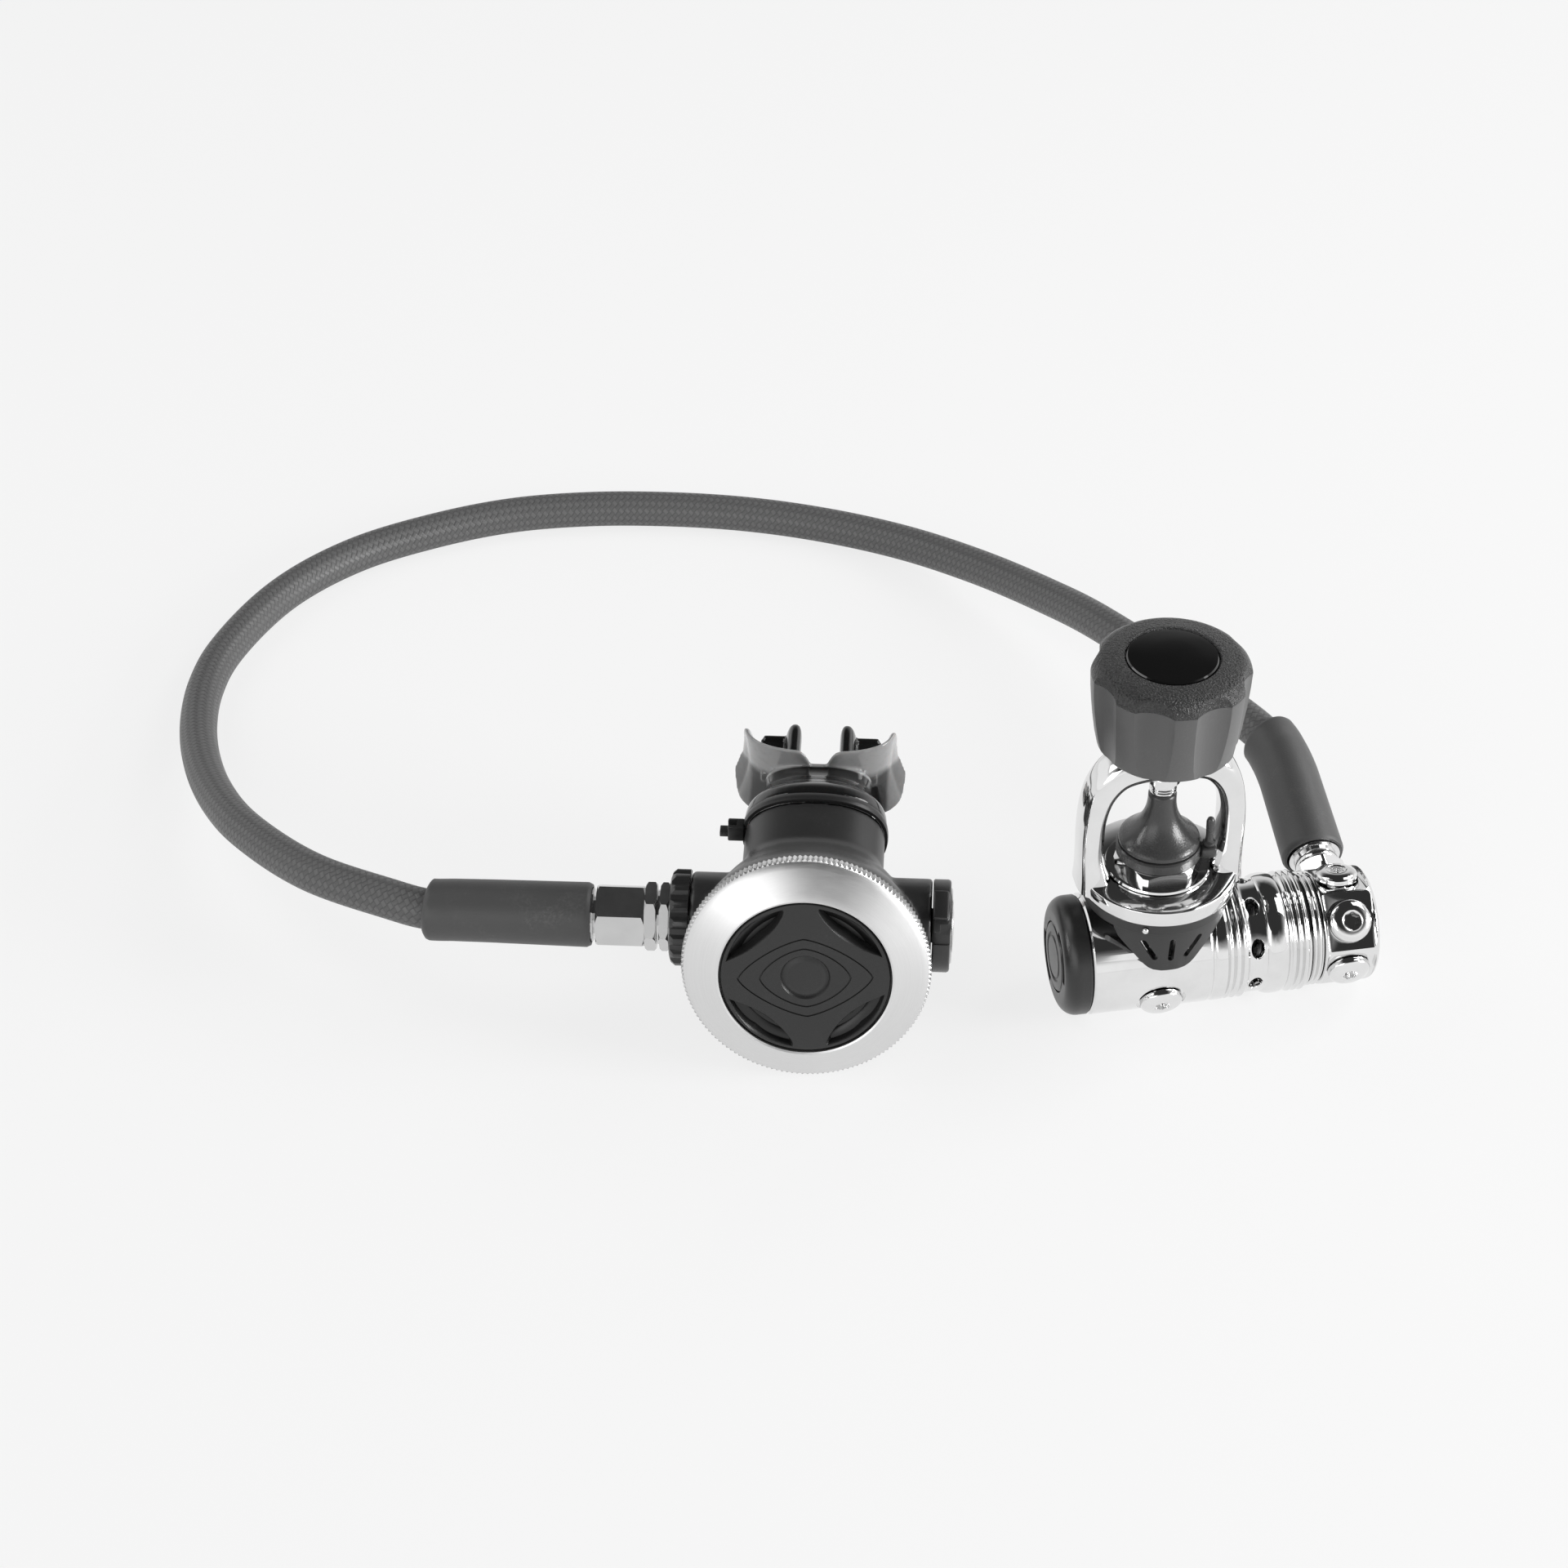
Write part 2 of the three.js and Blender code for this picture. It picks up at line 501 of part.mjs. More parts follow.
// Yoke screw, its swivelling tip and the fluted knob.
const TIP_FOOT = DUST_TOP + GAP;
const TIP_TOP = TIP_FOOT + 3.6;
const SCREW_FOOT = TIP_TOP + GAP;
const KNOB_FOOT = YOKE_TOP + 1;
const KNOB_TOP = KNOB_FOOT + KNOB_HEIGHT;
const SCREW_TOP = KNOB_FOOT + 16;
const SPINDLE_R = 2;
mesh(first, 'screw_tip', turned('z', [
  [0, TIP_FOOT], [SCREW_TIP_R - 0.4, TIP_FOOT], [SCREW_TIP_R, TIP_FOOT + 0.4], [SCREW_TIP_R, TIP_TOP],
  [SPINDLE_R, TIP_TOP], [SPINDLE_R, TIP_TOP + 4], [0, TIP_TOP + 4],
], SMALL), MIRROR);
mesh(first, 'yoke_screw', turned('z', [
  [0, TIP_TOP + 4 + GAP], [SPINDLE_R + GAP, TIP_TOP + 4 + GAP], [SPINDLE_R + GAP, SCREW_FOOT],
  [SCREW_R - 0.6, SCREW_FOOT], [SCREW_R, SCREW_FOOT + 0.6], [SCREW_R, SCREW_TOP], [0, SCREW_TOP],
], MEDIUM), MIRROR);

// The knob swells a little from its foot to its shoulder. Straight flutes lean with that
// swell, and each ends in an arch where it meets the round shoulder.
function yokeKnob() {
  const shoulder = KNOB_FOOT + KNOB_SHOULDER;
  const swell = [0.33, 0.66].map((t) => [
    KNOB_FOOT_R + (KNOB_R - KNOB_FOOT_R) * (1 - (1 - t) ** 1.6), KNOB_FOOT + KNOB_SHOULDER * t,
  ]);
  const profile = [
    [SCREW_R + GAP, KNOB_FOOT], [KNOB_FOOT_R - 0.6, KNOB_FOOT], [KNOB_FOOT_R, KNOB_FOOT + 0.8],
    ...swell, ...arc(KNOB_R - KNOB_ROUND, shoulder, KNOB_ROUND, KNOB_ROUND, 0, 80, 4),
    [KNOB_BADGE_R + 1, KNOB_TOP - 0.4], [KNOB_BADGE_R + GAP, KNOB_TOP - 0.6],
    [KNOB_BADGE_R + GAP, KNOB_TOP - 1.6], [0, KNOB_TOP - 1.6],
    [0, SCREW_TOP + GAP], [SCREW_R + GAP, SCREW_TOP + GAP],
  ];
  let knob = solid(turned('z', profile, FINE));
  const fluteR = 10.4;
  const [footDepth, topDepth] = [1, 2.4];
  const lean = Math.atan2(KNOB_R - topDepth - KNOB_FOOT_R + footDepth, KNOB_SHOULDER);
  for (let i = 0; i < KNOB_FLUTES; i += 1) {
    const flute = rod('z', fluteR, -4, KNOB_HEIGHT + 4, FINE);
    flute.rotateY(lean).translate(KNOB_FOOT_R + fluteR - footDepth, 0, KNOB_FOOT);
    knob = cut(knob, flute.rotateZ((FIRST_FLUTE + i * 360 / KNOB_FLUTES) * DEG));
  }
  return geometryOf(knob);
}
mesh(first, 'yoke_knob', yokeKnob(), BLACK_PLASTIC);
mesh(first, 'knob_badge', turned('z', [
  [0, KNOB_TOP - 1.6 + GAP], [KNOB_BADGE_R, KNOB_TOP - 1.6 + GAP], [KNOB_BADGE_R, KNOB_TOP - 0.4],
  [KNOB_BADGE_R - 0.6, KNOB_TOP - 0.1], [0, KNOB_TOP + 0.2],
], MEDIUM), GLOSS_BLACK);

// Blanking plugs, turned about the outward direction of their port. A shank in the turret
// stops short of the hub.
const HUB_CLEARANCE = 1;
const TURRET_SHANK = TURRET_FLAT + GAP - HUB_R - HUB_CLEARANCE;
function plug(seat, shank) {
  const [foot, head] = [seat + GAP, seat + GAP + PLUG_HEAD];
  const body = turned('z', [
    [0, foot - shank], [PORT_R - GAP, foot - shank], [PORT_R - GAP, foot], [PLUG_HEAD_R, foot],
    [PLUG_HEAD_R, foot + 0.9], ...arc(4, foot + 0.9, PLUG_HEAD_R - 4, PLUG_HEAD - 0.9, 30, 90, 2),
    [0, head],
  ], SMALL);
  return geometryOf(cut(solid(body), hexBar('z', 5, head - 2.2, head + 1)));
}
HIGH_ANGLES.forEach((angle, i) => {
  const name = i === 0 ? 'high_plug_front' : 'high_plug_rear';
  mesh(first, name, radial(plug(HIGH_SEAT, 7), HIGH_PLUG_X, angle), MIRROR);
});

// Turret: a fixed hub on the body, the housing that turns round it, and its bolt.
const HUB_RIGHT = TURRET_RIGHT - 5.5;
const BOLT_R = 4;
const BOLT_HEAD_R = 7.6;
mesh(first, 'turret_hub', turned('x', [
  [BOLT_R + GAP, HEAD_RIGHT + 3], [CHAMBER_R - 0.4, HEAD_RIGHT + 3], [CHAMBER_R - 0.4, NECK_LEFT],
  [TURRET_R - 0.4, NECK_LEFT], [TURRET_R, NECK_LEFT + 0.4], [TURRET_R, NECK_LEFT + 1.2],
  [TURRET_R - 0.8, NECK_LEFT + 1.6], [TURRET_R, NECK_LEFT + 2], [TURRET_R, NECK_RIGHT - 0.4],
  [TURRET_R - 0.4, NECK_RIGHT], [HUB_R, NECK_RIGHT], [HUB_R, HUB_RIGHT], [BOLT_R + GAP, HUB_RIGHT],
], FINE), MIRROR);
const bolt = turned('x', [
  [0, NECK_LEFT], [BOLT_R, NECK_LEFT], [BOLT_R, TURRET_RIGHT - 1.8], [BOLT_HEAD_R, TURRET_RIGHT - 1.8],
  [BOLT_HEAD_R, TURRET_RIGHT - 0.6], [BOLT_HEAD_R - 0.4, TURRET_RIGHT - 0.2], [0, TURRET_RIGHT - 0.2],
], MEDIUM);
const boltSocket = hexBar('x', 6, TURRET_RIGHT - 3.2, TURRET_RIGHT + 1);
mesh(first, 'turret_bolt', geometryOf(cut(solid(bolt), boltSocket)), MIRROR);

function turretHousing() {
  let turret = solid(turned('x', [
    [HUB_R + GAP, TURRET_LEFT], [TURRET_R - 0.5, TURRET_LEFT], [TURRET_R, TURRET_LEFT + 0.5],
    ...arc(TURRET_R - 2.2, TURRET_RIGHT - 2.2, 2.2, 2.2, 0, 90, 3), [BOLT_HEAD_R + GAP, TURRET_RIGHT],
    [BOLT_HEAD_R + GAP, TURRET_RIGHT - 2.1], [BOLT_R + GAP, TURRET_RIGHT - 2.1],
    [BOLT_R + GAP, HUB_RIGHT + GAP], [HUB_R + GAP, HUB_RIGHT + GAP],
  ], FINE));
  for (const angle of [...PORT_ANGLES, HOSE_PORT_ANGLE]) {
    const flat = box(-7.6, 7.6, -12, 12, TURRET_FLAT, TURRET_R + 2);
    const port = rod('z', PORT_R, HUB_R - 2, TURRET_R + 1, SMALL);
    turret = cut(turret, radial(flat, PORT_X, angle), radial(port, PORT_X, angle));
  }
  return geometryOf(turret);
}
mesh(first, 'turret_housing', turretHousing(), MIRROR);
PORT_ANGLES.forEach((angle, i) => {
  mesh(first, `low_plug_${i + 1}`, radial(plug(TURRET_FLAT, TURRET_SHANK), PORT_X, angle), MIRROR);
});

// ---------------------------------------------------------------- hose
const HOSE_START = TURRET_FLAT + GAP + FITTING_LENGTH + FERRULE_LENGTH;
function hoseEndFirst() {
  const foot = TURRET_FLAT + GAP;
  const shoulder = foot + FITTING_LENGTH;
  const fitting = turned('z', [
    [2, foot - TURRET_SHANK], [PORT_R - GAP, foot - TURRET_SHANK], [PORT_R - GAP, foot],
    [7, foot], [7, foot + 1],
    [6, foot + 6], [6.6, foot + 7], [6.6, shoulder], [FERRULE_R, shoulder],
    [FERRULE_R, HOSE_START], [2, HOSE_START],
  ], SMALL);
  const hex = solid(hexBar('z', 14, foot + 1, foot + 6, 30));
  return geometryOf(cut(solid(fitting).add(hex), rod('z', 2, 0, HOSE_START + 1, SMALL)));
}
mesh(first, 'hose_end_first', radial(hoseEndFirst(), PORT_X, HOSE_PORT_ANGLE), MIRROR);

const hoseCurve = new THREE.CatmullRomCurve3(HOSE_ROUTE.map((p) => at(...p)), false, 'centripetal');
const hoseLength = hoseCurve.getLength();

// A point a distance along the hose, running straight on past either end.
function onHose(distance) {
  const inside = Math.min(Math.max(distance, 0), hoseLength);
  const tangent = hoseCurve.getTangentAt(inside / hoseLength);
  const point = hoseCurve.getPointAt(inside / hoseLength).addScaledVector(tangent, distance - inside);
  return { point, tangent };
}

// A sleeve turned about z and bent so that z follows the hose.
function sleeve(ferruleEnd, hoseEnd) {
  const step = (hoseEnd - ferruleEnd) / 6;
  const wide = (FERRULE_R + GAP) / Math.cos(Math.PI / SMALL);
  const narrow = (HOSE_R + 1) / Math.cos(Math.PI / SMALL);
  const along = (t) => ferruleEnd + step * t;
  const ferruleTip = ferruleEnd + Math.sign(step) * (FERRULE_LENGTH + GAP);
  const profile = [[wide, along(0)], [SLEEVE_R - 0.5, along(0)], [SLEEVE_R, along(0.15)],
    [SLEEVE_R, along(1)], [SLEEVE_R, along(2)], [SLEEVE_R - 0.1, along(3)],
    [SLEEVE_R - 0.2, along(4)], [SLEEVE_R - 0.3, along(5)], [SLEEVE_R - 0.4, along(5.85)],
    [SLEEVE_R - 0.9, along(6)], [narrow, along(6)], [narrow, along(5)], [narrow, along(4)],
    [narrow, ferruleTip], [wide, ferruleTip]];
  const geometry = turned('z', profile, SMALL);
  const { position } = geometry.attributes;
  for (let i = 0; i < position.count; i += 1) {
    const { point, tangent } = onHose(position.getZ(i));
    const side = tangent.clone().cross(at(0, 0, 1)).normalize();
    const lift = side.clone().cross(tangent);
    point.addScaledVector(side, position.getX(i)).addScaledVector(lift, position.getY(i));
    position.setXYZ(i, point.x, point.y, point.z);
  }
  return closed(geometry);
}

const hoseSteps = Math.round(hoseLength / (4 * HOSE_R));
const hoseOutline = arc(0, 0, HOSE_R, HOSE_R, 0, 324, 9).map(([a, b]) => new THREE.Vector2(a, b));
const hoseSection = new THREE.Shape(hoseOutline);
const hoseGeometry = new THREE.ExtrudeGeometry(hoseSection, {
  extrudePath: hoseCurve, steps: hoseSteps, bevelEnabled: false,
});
mesh(regulator, 'hose', closed(hoseGeometry), GREY_HOSE);
const ferruleSide = FERRULE_LENGTH - GAP;
mesh(regulator, 'hose_sleeve_second', sleeve(-ferruleSide, SLEEVE_LENGTH - ferruleSide), BLACK_RUBBER);
mesh(regulator, 'hose_sleeve_first', sleeve(hoseLength + ferruleSide,
  hoseLength - (SLEEVE_LENGTH - ferruleSide)), BLACK_RUBBER);

// ---------------------------------------------------------------- second stage
const second = new THREE.Group();
second.position.set(SECOND_STAGE_AT[0], SECOND_STAGE_AT[1], INLET_HEIGHT);
second.rotation.set(SECOND_STAGE_TILT * DEG, 0, SECOND_STAGE_YAW * DEG, 'ZXY');
regulator.add(second);

const coverTurned = (profile, segments) => turned('y', profile, segments).translate(0, 0, COVER_DROP);

// Inlet side: adapter, lock nut, ribbed cap and the swivel nut of the hose.
const TUBE_LEFT = BARREL_LEFT - 9.5;
const TUBE_RIGHT = BARREL_RIGHT - 0.6;
const SPRING_SEAT = 13;
const ADAPTER_FACE = TUBE_LEFT - GAP;
const HEX_RING = 3.4;
const STUB_R = 5.9;
const STUB_LENGTH = 7;
const STUB_END = ADAPTER_FACE - HEX_RING - STUB_LENGTH;
const NUT_RIGHT = ADAPTER_FACE - HEX_RING - GAP;
const NUT_LEFT = NUT_RIGHT - NUT_LENGTH;
const INLET_BORE_R = 2.6;
const SEAT_LEFT = -30;
const SEAT_RIGHT = -22.6;

const adapter = turned('x', [
  [INLET_BORE_R, STUB_END], [STUB_R - 0.5, STUB_END], [STUB_R, STUB_END + 0.5],
  [STUB_R, ADAPTER_FACE - HEX_RING], [TUBE_R, ADAPTER_FACE - HEX_RING], [TUBE_R, ADAPTER_FACE],
  [TUBE_BORE_R - GAP, ADAPTER_FACE], [TUBE_BORE_R - GAP, SEAT_LEFT - GAP],
  [INLET_BORE_R, SEAT_LEFT - GAP],
], MEDIUM);
const adapterHex = hexBar('x', HEX_RING_AF, ADAPTER_FACE - HEX_RING, ADAPTER_FACE, 12);
const adapterBore = rod('x', INLET_BORE_R, STUB_END - 1, SEAT_LEFT, MEDIUM);
mesh(second, 'inlet_adapter', geometryOf(cut(join(solid(adapter), adapterHex), adapterBore)), SATIN);
const lockNut = solid(hexBar('x', HEX_RING_AF, TUBE_LEFT + 0.6, TUBE_LEFT + 3.3, 27));
mesh(second, 'inlet_lock_nut', geometryOf(cut(lockNut, rod('x', TUBE_R + GAP, -60, 0))), SATIN);

const swivelNut = solid(hexBar('x', NUT_AF, NUT_LEFT + 1.6, NUT_RIGHT, 5));
const nutShoulder = rod('x', NUT_AF / 2 - 0.3, NUT_LEFT, NUT_LEFT + 2, MEDIUM);
mesh(second, 'swivel_nut', geometryOf(cut(join(swivelNut, nutShoulder),
  rod('x', STUB_R + GAP, NUT_LEFT - 1, NUT_RIGHT + 1))), SATIN);

function inletCap() {
  const [left, right] = [TUBE_LEFT + 3.6, BARREL_LEFT - GAP];
  const ribs = 16;
  const outline = Array.from({ length: ribs * 4 }, (_, i) => {
    const r = i % 4 < 2 ? BARREL_R + 0.6 : BARREL_R - 0.4;
    const angle = 2 * Math.PI * i / (ribs * 4);
    return [r * Math.cos(angle), r * Math.sin(angle)];
  });
  return geometryOf(cut(solid(prism('x', outline, left, right)), rod('x', TUBE_R + GAP, -60, 0)));
}
mesh(second, 'inlet_cap', inletCap(), BLACK_PLASTIC);

// The case narrows from its flange to an oval outlet tube that points slightly up.
const FLANGE_FACE = COVER_BACK - 1.3;
const OUTLET_AT = [16, 4.5];
const OUTLET_SPIGOT = 9;
const CASE_RINGS = [
  // y, middle height, half width, half height
  [FLANGE_FACE, COVER_DROP, FLANGE_R, FLANGE_R], [-15, COVER_DROP, FLANGE_R, FLANGE_R],
  [-8, -1.3, 33, 30.8], [0, 1, 30, 25], [8, 3.2, 25, 18.3], [14, 4, 21.5, 14.6],
];
const toOutlet = (geometry) =>
  geometry.rotateX(OUTLET_LIFT * DEG).translate(0, OUTLET_AT[0], OUTLET_AT[1]);

function caseSkin(grow) {
  return lofted(CASE_RINGS.map(([y, middle, rx, rz]) => oval(y, middle, rx + grow, rz + grow, 2, FINE)));
}

// Frame of the exhaust port: its tools are built along z, pointing out of the case.
const EXHAUST_TURN = -131.6;
const EXHAUST_AT = [5.4, -20.7];
const EXHAUST_R = 12;
const toExhaust = (geometry) =>
  geometry.rotateX(EXHAUST_TURN * DEG).translate(0, EXHAUST_AT[0], EXHAUST_AT[1]);

function caseShell() {
  const [wide, tall] = [OUTLET_RX + 0.3, OUTLET_RZ + 0.3];
  const tube = [[-5, wide, tall], [OUTLET_LENGTH + 3.3, wide, tall]];
  const spigot = [[0, OUTLET_RX - 1.1, OUTLET_RZ - 1.1],
    [OUTLET_LENGTH + 3.3 + OUTLET_SPIGOT, OUTLET_RX - 1.1, OUTLET_RZ - 1.1]];
  const bore = [[-8, OUTLET_RX - 3, OUTLET_RZ - 3], [OUTLET_LENGTH + 20, OUTLET_RX - 3, OUTLET_RZ - 3]];
  const ovals = (rows) => toOutlet(lofted(rows.map(([y, rx, rz]) => oval(y, 0, rx, rz, 2.3, MEDIUM))));
  const inner = CASE_RINGS.map(([y, middle, rx, rz], i) => {
    const wall = i === 0 ? FLANGE_R - 29 : CASE_WALL;
    return oval(y - (i === 0 ? 1 : 0), middle, rx - wall, rz - wall, 2, FINE);
  });
  let shell = join(solid(caseSkin(0)), rod('x', BARREL_R, BARREL_LEFT, -12),
    rod('x', BARREL_R, 12, BARREL_RIGHT), toExhaust(rod('z', EXHAUST_R, -8, 0, MEDIUM)),
    ovals(tube), ovals(spigot));
  shell = cut(shell, lofted(inner), ovals(bore), rod('x', TUBE_R + GAP, -60, 60));
  shell = cut(shell, toExhaust(rod('z', 9, -14, 1, MEDIUM)));
  const spokes = [0, 90].map((turn) =>
    toExhaust(box(-9.4, 9.4, -1.1, 1.1, -3, -0.6).rotateZ(turn * DEG)));
  shell = join(shell, ...spokes, toExhaust(rod('z', 3, -3, -0.6, SMALL)));
  return geometryOf(cut(shell, toExhaust(rod('z', 1.4 + GAP, -5, 1, SMALL))));
}
mesh(second, 'case', caseShell(), BLACK_PLASTIC);

// Cover ring with a knurled rim, the moving purge cover, and the diaphragm behind it.
function coverRing() {
  const rim = coverTurned([
    [FLANGE_R + 0.4, COVER_BACK], [COVER_R, COVER_BACK], [COVER_R, COVER_BACK - 2.9],
    [COVER_R - 0.8, COVER_BACK - 3.5], [COVER_OPENING_R + 0.8, COVER_FRONT],
    [COVER_OPENING_R, COVER_FRONT + 0.3], [COVER_OPENING_R, COVER_FRONT + 1.2],
    [27, COVER_FRONT + 1.2], [27, COVER_FRONT + 3.2], [29.5, COVER_BACK - 2.7],
    [FLANGE_R + 0.4, COVER_BACK - 2.7],
  ], FINE);
  return rim;
}
mesh(second, 'cover_ring', coverRing(), SATIN);

const PURGE_R = COVER_OPENING_R - 0.5;
const PURGE_FRONT = COVER_FRONT + 0.3;
const HUB_BACK = PURGE_FRONT + 3.9;
function purgeCover() {
  const disc = turned('y', [
    [0, PURGE_FRONT + 0.9], [4.8, PURGE_FRONT + 0.9], [5.6, PURGE_FRONT], [PURGE_R - 0.8, PURGE_FRONT],
    [PURGE_R, PURGE_FRONT + 0.6], [PURGE_R, PURGE_FRONT + 1.2], [26.5, PURGE_FRONT + 1.2],
    [26.5, PURGE_FRONT + 2.2], [12, PURGE_FRONT + 2.2], [12, HUB_BACK], [0, HUB_BACK],
  ], FINE);
  let cover = solid(disc);
  const outline = [...arc(0, 0, 22.4, 22.4, -27, 27, 6), [17.6, 7], [17.1, 0], [17.6, -7]];
  for (let i = 0; i < 4; i += 1) {
    const window = prism('y', outline, PURGE_FRONT - 2, PURGE_FRONT + 5);
    cover = cut(cover, window.rotateY((45 + 90 * i) * DEG));
  }
  return geometryOf(cover).translate(0, 0, COVER_DROP);
}
mesh(second, 'purge_cover', purgeCover(), BLACK_PLASTIC);

const PLATE_FRONT = HUB_BACK + GAP;
const SEAL_FRONT = FLANGE_FACE - 1.1;
mesh(second, 'diaphragm_plate', coverTurned([
  [0, PLATE_FRONT], [PLATE_R, PLATE_FRONT], [PLATE_R, PLATE_FRONT + 0.8], [0, PLATE_FRONT + 0.8],
], MEDIUM), STEEL);
mesh(second, 'diaphragm', coverTurned([
  [PLATE_R + 0.5, SEAL_FRONT + 1.1], [26.5, SEAL_FRONT + 1.1], [28, SEAL_FRONT],
  [FLANGE_R - 0.4, SEAL_FRONT], [FLANGE_R - 0.4, SEAL_FRONT + 0.8], [28.6, SEAL_FRONT + 0.8],
  [27, SEAL_FRONT + 1.9], [PLATE_R + 0.5, SEAL_FRONT + 1.9],
], MEDIUM), SILICONE);

// Demand valve: tube, orifice, poppet, its spring, and the lever the plate presses.
function valveTube() {
  const tube = turned('x', [
    [TUBE_BORE_R, TUBE_LEFT], [TUBE_R, TUBE_LEFT], [TUBE_R, TUBE_RIGHT], [5.4, TUBE_RIGHT],
    [5.4, 20], [3, 20], [3, SPRING_SEAT], [TUBE_BORE_R, SPRING_SEAT],
  ], MEDIUM);
  return geometryOf(cut(solid(tube), box(-8, -3, -9, -4, -2.6, 2.6), box(-8, -3, 4, 9, -2.6, 2.6)));
}
mesh(second, 'valve_tube', valveTube(), SATIN);
mesh(second, 'inlet_seat', turned('x', [
  [1.6, SEAT_LEFT], [TUBE_BORE_R - GAP, SEAT_LEFT], [TUBE_BORE_R - GAP, SEAT_RIGHT - 3],
  [3.2, SEAT_RIGHT - 3], [2.4, SEAT_RIGHT], [1.6, SEAT_RIGHT],
], MEDIUM), BRASS);
const POPPET_R = TUBE_BORE_R - 0.4;
const POPPET_RIGHT = -8;
const POPPET_TRAVEL = 1;
mesh(second, 'poppet', rod('x', POPPET_R, SEAT_RIGHT + GAP, POPPET_RIGHT, MEDIUM), BLACK_PLASTIC);
const poppetSpring = helix(4, 0.6, POPPET_RIGHT + POPPET_TRAVEL + GAP, SPRING_SEAT - GAP, 6);
mesh(second, 'poppet_spring', poppetSpring, STEEL);
const LEVER_TIP = PLATE_FRONT + 0.8 + GAP;
// The lever's foot lies along the tube, a clearance away from it.
const LEVER_CLEARANCE = 1.3;
const LEVER_WALL = 1.3;
const LEVER_INNER = -(TUBE_R + LEVER_CLEARANCE);
const LEVER_OUTER = LEVER_INNER - LEVER_WALL;
mesh(second, 'demand_lever', prism('z', [
  [-10, LEVER_OUTER], [-5, LEVER_OUTER], [9, LEVER_TIP], [13, LEVER_TIP], [13, LEVER_TIP + 0.9],
  [9.4, LEVER_TIP + 0.9], [-4.4, LEVER_INNER], [-10, LEVER_INNER],
], -3, 3), STEEL);

// Air-guide knob at the other end of the valve axis, with its flat badge.
const KNOB_LEFT = BARREL_RIGHT + GAP;
const KNOB_RIGHT = KNOB_LEFT + 5.2;
function venturiKnob() {
  const body = turned('x', [
    [0, 22], [5, 22], [5, KNOB_LEFT], [BARREL_R, KNOB_LEFT], [BARREL_R, KNOB_RIGHT - 0.6],
    [BARREL_R - 0.6, KNOB_RIGHT], [11.3, KNOB_RIGHT], [11.3, KNOB_RIGHT - 1], [0, KNOB_RIGHT - 1],
  ], MEDIUM);
  const thumb = box(KNOB_LEFT, KNOB_RIGHT - 0.6, -4.5, 4.5, BARREL_R - 1, BARREL_R + 1.4);
  return geometryOf(join(solid(body), thumb.rotateX(35 * DEG)));
}
mesh(second, 'venturi_knob', venturiKnob(), BLACK_PLASTIC);
mesh(second, 'venturi_badge', turned('x', [
  [0, KNOB_RIGHT - 1 + GAP], [11, KNOB_RIGHT - 1 + GAP], [11, KNOB_RIGHT + 0.2],
  [8, KNOB_RIGHT + 0.8], [0, KNOB_RIGHT + 1.1],
], MEDIUM), SATIN);

// Exhaust: a mushroom valve on the port and a tee that leads the bubbles sideways.
mesh(second, 'exhaust_valve', toExhaust(turned('z', [
  [0, -4], [1.4, -4], [1.4, GAP], [11, GAP], [11, GAP + 0.6], [4, GAP + 1.4], [0, GAP + 1.6],
], MEDIUM)), SILICONE);

const TEE_HALF = 31;
function exhaustTee() {
  const section = (x, y, z, ry, rz) => oval(0, 0, ry, rz, 2.6, MEDIUM)
    .map((p) => at(x, y + p.x, z + p.z));
  const rows = [[-TEE_HALF, 13, -25.88, 9, 7], [-18, 11.6, -25.03, 12.4, 8.4], [0, 10.5, -24.03, 14.5, 9.4],
    [18, 11.6, -25.03, 12.4, 8.4], [TEE_HALF, 13, -25.88, 9, 7]];
  const outer = lofted(rows.map((row) => section(...row)));
  const wall = 1.8;
  const inner = lofted(rows.map(([x, y, z, ry, rz]) =>
    section(x * 1.1, y, z, ry - wall, rz - wall)));
  const port = toExhaust(rod('z', EXHAUST_R + 0.4, -30, 3.4, MEDIUM));
  const tee = cut(solid(outer), inner, caseSkin(0.4), port);
  const pieces = tee.decompose().sort((a, b) => b.volume() - a.volume());
  return geometryOf(pieces[0]);
}
mesh(second, 'exhaust_tee', exhaustTee(), BLACK_PLASTIC);

// Mouthpiece on the outlet, its tie, and the frame they share along the outlet.
const outlet = new THREE.Group();
outlet.position.set(0, OUTLET_AT[0], OUTLET_AT[1]);
outlet.rotation.x = OUTLET_LIFT * DEG;
second.add(outlet);

const MOUTH = OUTLET_LENGTH + 3.3 + GAP;
const FLANGE_HALF_WIDTH = 23;     // to the outside of the flange at its top
const FLANGE_DEPTH = 13.7;        // from its flat middle back to its ends
const FLANGE_WALL = 2;
const FLANGE_BACK = MOUTH + 38;
const FLANGE_TOP = 13;
const FLANGE_STEPS = 14;
// How far the flange leans out at each height.
const FLANGE_LEAN = [[-10.4, 2.2], [-6.5, 1], [-1.5, 0], [FLANGE_TOP, 0]];
const TAB_END = MOUTH + 46;

